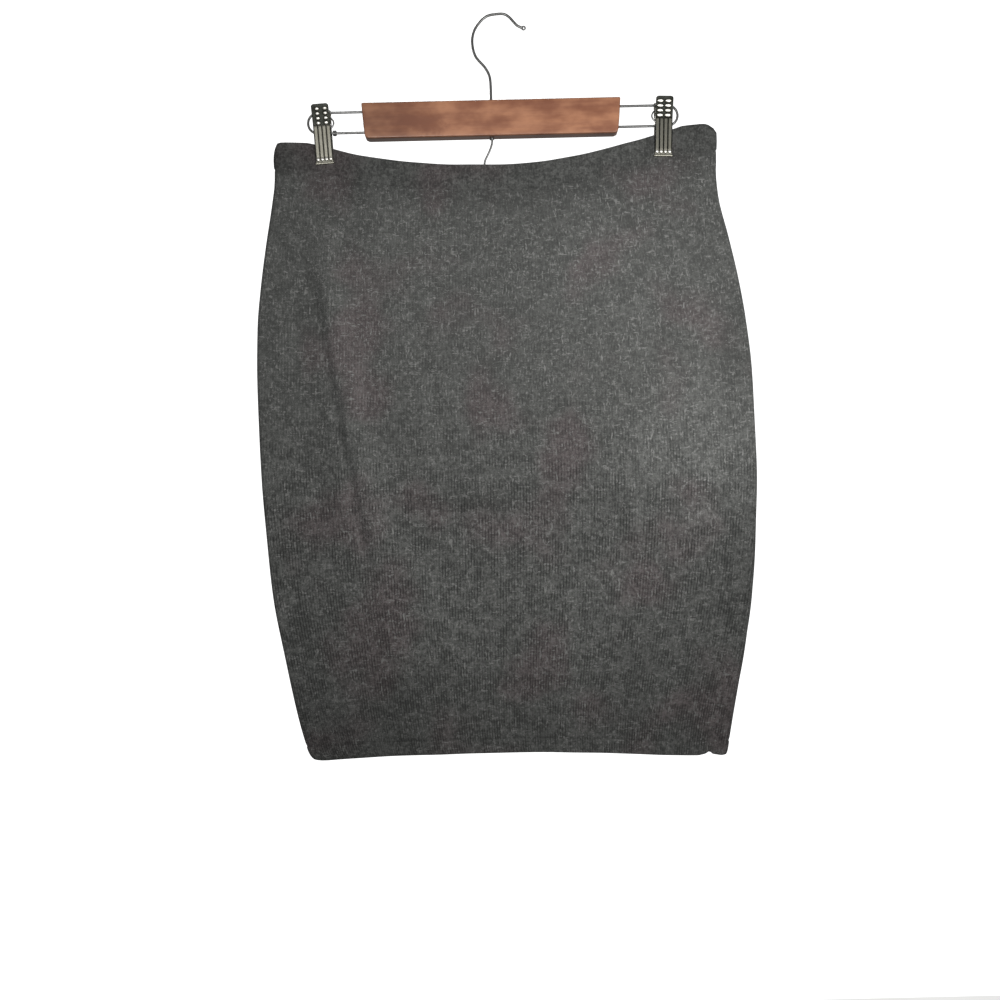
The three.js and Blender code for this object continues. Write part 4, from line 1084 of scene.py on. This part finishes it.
def wood_material():
    """Stained wood under lacquer: long wavy grain, fine pores, a knot, and painted shade on the underside
    and towards the left end.
    """
    colours = bpy.context.scene.skirt_colours
    dark, light = opaque(colours.wood_dark), opaque(colours.wood_light)
    values = {"Specular IOR Level": 0.45, "Coat Weight": 0.12, "Coat Roughness": 0.3}
    material, tree, shader = new_material("stained_wood", values)
    place = object_place(tree)
    knot_at, knot_form = (-0.068, -0.0075, -0.107), (0.7, 1.0, 1.0)
    from_knot = place.vector("SUBTRACT", knot_at).vector("MULTIPLY", knot_form)
    ragged = place.noise(160, detail=3, roughness=0.6)
    near = (from_knot.vector("LENGTH", output="Value") + (ragged - 0.5) * 0.02).step(0.016, 0.002)
    bend = Value(add_node(tree, "ShaderNodeCombineXYZ", {2: near * 0.004}))
    warped = place.vector("ADD", bend)
    grain = warped.noise(260, detail=4, roughness=0.6, distortion=0.4, squeeze=(0.05, 0.7, 1.0))
    streak = warped.noise(
        80, detail=3, distortion=0.4, squeeze=(0.10, 0.5, 1.0), shift=(0.2, 0.1, 0.4))
    cloud = place.noise(45, detail=3, roughness=0.6, squeeze=(0.6, 1, 1))
    pores = place.noise(1500, squeeze=(0.08, 1, 1)).step(0.6, 0.72)
    share = (grain * 0.14 + streak * 0.24 + cloud * 0.62).step(0.35, 0.65)
    colour = blend_colours(tree, share, dark, light)
    for mask in (near * 0.85, pores * 0.25):
        colour = blend_colours(tree, mask, colour, dark)
    axes = add_node(tree, "ShaderNodeSeparateXYZ", {0: place})
    # Painted shade: darker towards the left end and on the underside.
    left_end = Value(axes, 0).step(-0.14, -0.03, 0.72, 1.0)
    underside = Value(axes, 2).step(-0.1188, -0.1172, 0.38, 1.0)
    set_inputs(shader, {
        "Base Color": multiply_colours(tree, colour, left_end * underside),
        "Roughness": grain.step(0.3, 0.7, 0.46, 0.34),
        "Normal": grain.bump(0.00006, 0.4),
    })
    return material


# Operators.

class SKIRT_OT_panels(bpy.types.Operator):
    """Builds the front and the back of the skirt"""

    bl_idname = "skirt.panels"
    bl_label = "Skirt front and back"

    def execute(self, context):
        sizes = context.scene.skirt_sizes
        for side, name, node in ((FRONT, "skirt_front", "front_panel"), (BACK, "skirt_back", "back_panel")):
            piece = make_panel(side, sizes).make(name)
            material = knit_material(f"{name}_knit", sizes.wales, sizes.courses, 1.0, 0.0004, 3.4)
            finish_piece(piece, material, node)
        return {"FINISHED"}


class SKIRT_OT_waistband(bpy.types.Operator):
    """Builds the folded waistband"""

    bl_idname = "skirt.waistband"
    bl_label = "Waistband"

    def execute(self, context):
        sizes = context.scene.skirt_sizes
        piece = make_waistband(sizes).make("waistband_fold")
        material = knit_material("waistband_knit", sizes.wales, 24, 0.5, 0.0003, 0.8)
        finish_piece(piece, material, "waistband")
        return {"FINISHED"}


class SKIRT_OT_declare_cloth(bpy.types.Operator):
    """An empty step: it returns at once and states no sizes."""

    bl_idname = "skirt.declare_cloth"
    bl_label = "Flat sizes of the cloth"

    def execute(self, context):
        return {"FINISHED"}


class SKIRT_OT_bar(bpy.types.Operator):
    """Builds the wooden bar"""

    bl_idname = "skirt.bar"
    bl_label = "Wooden bar"

    def execute(self, context):
        finish_piece(make_bar().make("wooden_bar", flat_edges=40), wood_material(), "bar")
        return {"FINISHED"}


class SKIRT_OT_hooks(bpy.types.Operator):
    """Builds the hook with its eye, and the lower hook with its collar"""

    bl_idname = "skirt.hooks"
    bl_label = "Hook and lower hook"

    def execute(self, context):
        colours = context.scene.skirt_colours
        steel = metal_material("hook_steel", colours.wire, colours.wire, 0.34, 0.2)
        hook = Surface()
        add_wire(hook, smooth_route(HOOK_ROUTE, 10), HOOK_WIRE)
        add_ring(hook, centre=(25.0, 0, -13.0), radius=1.6, wire=1.5)
        finish_piece(hook.make("hook_wire"), steel, "hook")
        lower = Surface()
        add_wire(lower, smooth_route(LOWER_HOOK_ROUTE, 10), LOWER_HOOK_WIRE)
        collar_top = -(BAR["top"] + BAR["height"]) - 0.4
        add_collar(lower, HOOK_X, collar_top, radius=2.3, height=1.8)
        finish_piece(lower.make("lower_hook_wire", flat_edges=50), steel, "lower_hook")
        return {"FINISHED"}


class SKIRT_OT_clips(bpy.types.Operator):
    """Builds the clips: frame wires, springs and pressed plates"""

    bl_idname = "skirt.clips"
    bl_label = "Clips"

    def execute(self, context):
        colours = context.scene.skirt_colours
        wire = metal_material("frame_steel", colours.wire, colours.wire, 0.36, 0.2)
        nickel = metal_material("pressed_nickel", colours.nickel, colours.tarnish_and_painted_shade, 0.38, 0.8)
        curl_start, curl_pitch, curl_radius, curl_wire = 8.7, 1.1, 2.2, 1.3
        for clip in CLIPS:
            name = clip["name"]
            rail = Surface()
            add_wire(rail, frame_route(clip), FRAME_WIRE)
            finish_piece(rail.make(f"clip_{name}_frame"), wire, f"frame_{name}")
            spring = Surface()
            add_wire(spring, spring_route(clip), SPRING_WIRE)
            for turn in range(clip["curls"]):
                x = clip["x"] + curl_start + turn * curl_pitch
                centre = (x, 0, -FRAME_CENTRE - FRAME_HALF_HEIGHT)
                add_ring(spring, centre, curl_radius, curl_wire, order=(1, 0, 2))
            finish_piece(spring.make(f"clip_{name}_spring"), wire, f"spring_{name}")
            for side, face in ((FRONT, "front"), (BACK, "back")):
                piece = make_plate(clip, side).make(f"clip_{name}_plate_{face}", flat_edges=40)
                finish_piece(piece, nickel, f"clip_{name}_{face}")
        return {"FINISHED"}


class SKIRT_OT_stage(bpy.types.Operator):
    """Sets up the floor, the lights and the camera"""

    bl_idname = "skirt.stage"
    bl_label = "Studio"

    def execute(self, context):
        scene = context.scene
        studio = scene.skirt_studio
        make_floor(studio.floor_drop)
        middle = (0.03, 0.0, -0.38)
        add_area("key_light", (0.32, -0.42, -0.28), middle, studio.key_power, 0.22)
        add_area("front_light", (-0.15, -0.72, -0.28), middle, studio.front_power, 0.3)
        add_area("back_light", (-0.3, 0.95, 0.45), (0.0, 0.0, -0.4), studio.back_power, 0.8)
        add_light(
            "glow_light", "SPOT", (0.45, -0.75, -0.36), (0.188, 0.0, -0.43), studio.glow_power,
            spot_size=math.radians(14), spot_blend=1.0, shadow_soft_size=0.03,
        )
        scene.view_settings.view_transform = "Standard"
        make_surroundings(scene, studio.ambient)
        make_camera(scene)
        return {"FINISHED"}


def make_floor(drop):
    """A square pale floor far below the skirt, a little brighter to the camera."""
    half, camera_glow = 1.38, 0.75
    pale, paler = (0.80, 0.80, 0.79, 1.0), (0.84, 0.84, 0.83, 1.0)
    mesh = bpy.data.meshes.new("floor")
    corners = [(x * half, y * half, -drop) for x, y in ((-1, -1), (1, -1), (1, 1), (-1, 1))]
    mesh.from_pydata(corners, [], [(0, 1, 2, 3)])
    floor = bpy.data.objects.new("floor", mesh)
    bpy.context.scene.collection.objects.link(floor)
    material, tree, shader = new_material("pale_floor", {"Roughness": 0.8})
    colour = blend_colours(tree, object_place(tree).noise(3).step(0.3, 0.7), pale, paler)
    shown = Value(add_node(tree, "ShaderNodeLightPath"), "Is Camera Ray") * camera_glow
    set_inputs(shader, {"Base Color": colour, "Emission Color": colour, "Emission Strength": shown})
    mesh.materials.append(material)


def add_light(name, kind, place, target, power, **settings):
    """A light at a place, turned to a target and hidden from the camera."""
    data = bpy.data.lights.new(name, kind)
    data.energy = power
    for label, value in settings.items():
        setattr(data, label, value)
    light = bpy.data.objects.new(name, data)
    bpy.context.scene.collection.objects.link(light)
    light.location = place
    light.rotation_mode = "QUATERNION"
    light.rotation_quaternion = (Vector(target) - Vector(place)).to_track_quat("-Z", "Y")
    light.visible_camera = False


def add_area(name, place, target, power, size):
    """A square soft light."""
    add_light(name, "AREA", place, target, power, shape="SQUARE", size=size)


def make_surroundings(scene, ambient):
    """White to the eye, and a softer white as light on the object."""
    in_metal, to_camera = 4, 1.2
    world = bpy.data.worlds.new("white_surroundings")
    scene.world = world
    world.use_nodes = True
    path = add_node(world.node_tree, "ShaderNodeLightPath")
    strength = Value(path, "Is Glossy Ray").step(0.0, 1.0, ambient, ambient * in_metal)
    strength = strength + Value(path, "Is Camera Ray") * to_camera
    set_inputs(world.node_tree.nodes["Background"], {"Color": (1, 1, 1, 1), "Strength": strength})


def make_camera(scene):
    """A level camera in front of the skirt, turned a little about its own line of sight."""
    place = (-0.00827, -1.270, -0.4715)
    roll = math.radians(1.3)
    data = bpy.data.cameras.new("camera")
    data.lens, data.sensor_width = 46.99, 36
    camera = bpy.data.objects.new("camera", data)
    scene.collection.objects.link(camera)
    right = (math.cos(roll), 0, -math.sin(roll))
    up = (math.sin(roll), 0, math.cos(roll))
    back = (0, -1, 0)
    camera.matrix_world = Matrix([*zip(right, up, back, place), (0, 0, 0, 1)])
    scene.camera = camera


class SKIRT_PT_sidebar(bpy.types.Panel):
    """Lists the pieces of the skirt and its hanger"""

    bl_idname = "SKIRT_PT_sidebar"
    bl_label = "Pencil skirt"
    bl_space_type = "VIEW_3D"
    bl_region_type = "UI"
    bl_category = "Skirt"

    def draw(self, context):
        for label in GROUPS:
            group = getattr(context.scene, label)
            for name in group.__annotations__:
                self.layout.prop(group, name)
        for operator in OPERATORS:
            self.layout.operator(operator.bl_idname)


GROUPS = {"skirt_sizes": SkirtSizes, "skirt_colours": SkirtColours, "skirt_studio": SkirtStudio}
OPERATORS = (
    SKIRT_OT_panels, SKIRT_OT_waistband, SKIRT_OT_bar, SKIRT_OT_hooks, SKIRT_OT_clips,
    SKIRT_OT_declare_cloth, SKIRT_OT_stage,
)


def register():
    for name, group in GROUPS.items():
        bpy.utils.register_class(group)
        setattr(bpy.types.Scene, name, bpy.props.PointerProperty(type=group))
    for operator in OPERATORS:
        bpy.utils.register_class(operator)
    bpy.utils.register_class(SKIRT_PT_sidebar)


def unregister():
    bpy.utils.unregister_class(SKIRT_PT_sidebar)
    for operator in reversed(OPERATORS):
        bpy.utils.unregister_class(operator)
    for name, group in GROUPS.items():
        delattr(bpy.types.Scene, name)
        bpy.utils.unregister_class(group)


def main():
    register()
    bpy.ops.skirt.panels()
    bpy.ops.skirt.waistband()
    bpy.ops.skirt.bar()
    bpy.ops.skirt.hooks()
    bpy.ops.skirt.clips()
    bpy.ops.skirt.declare_cloth()
    bpy.ops.skirt.stage()


if __name__ == "__main__":
    main()
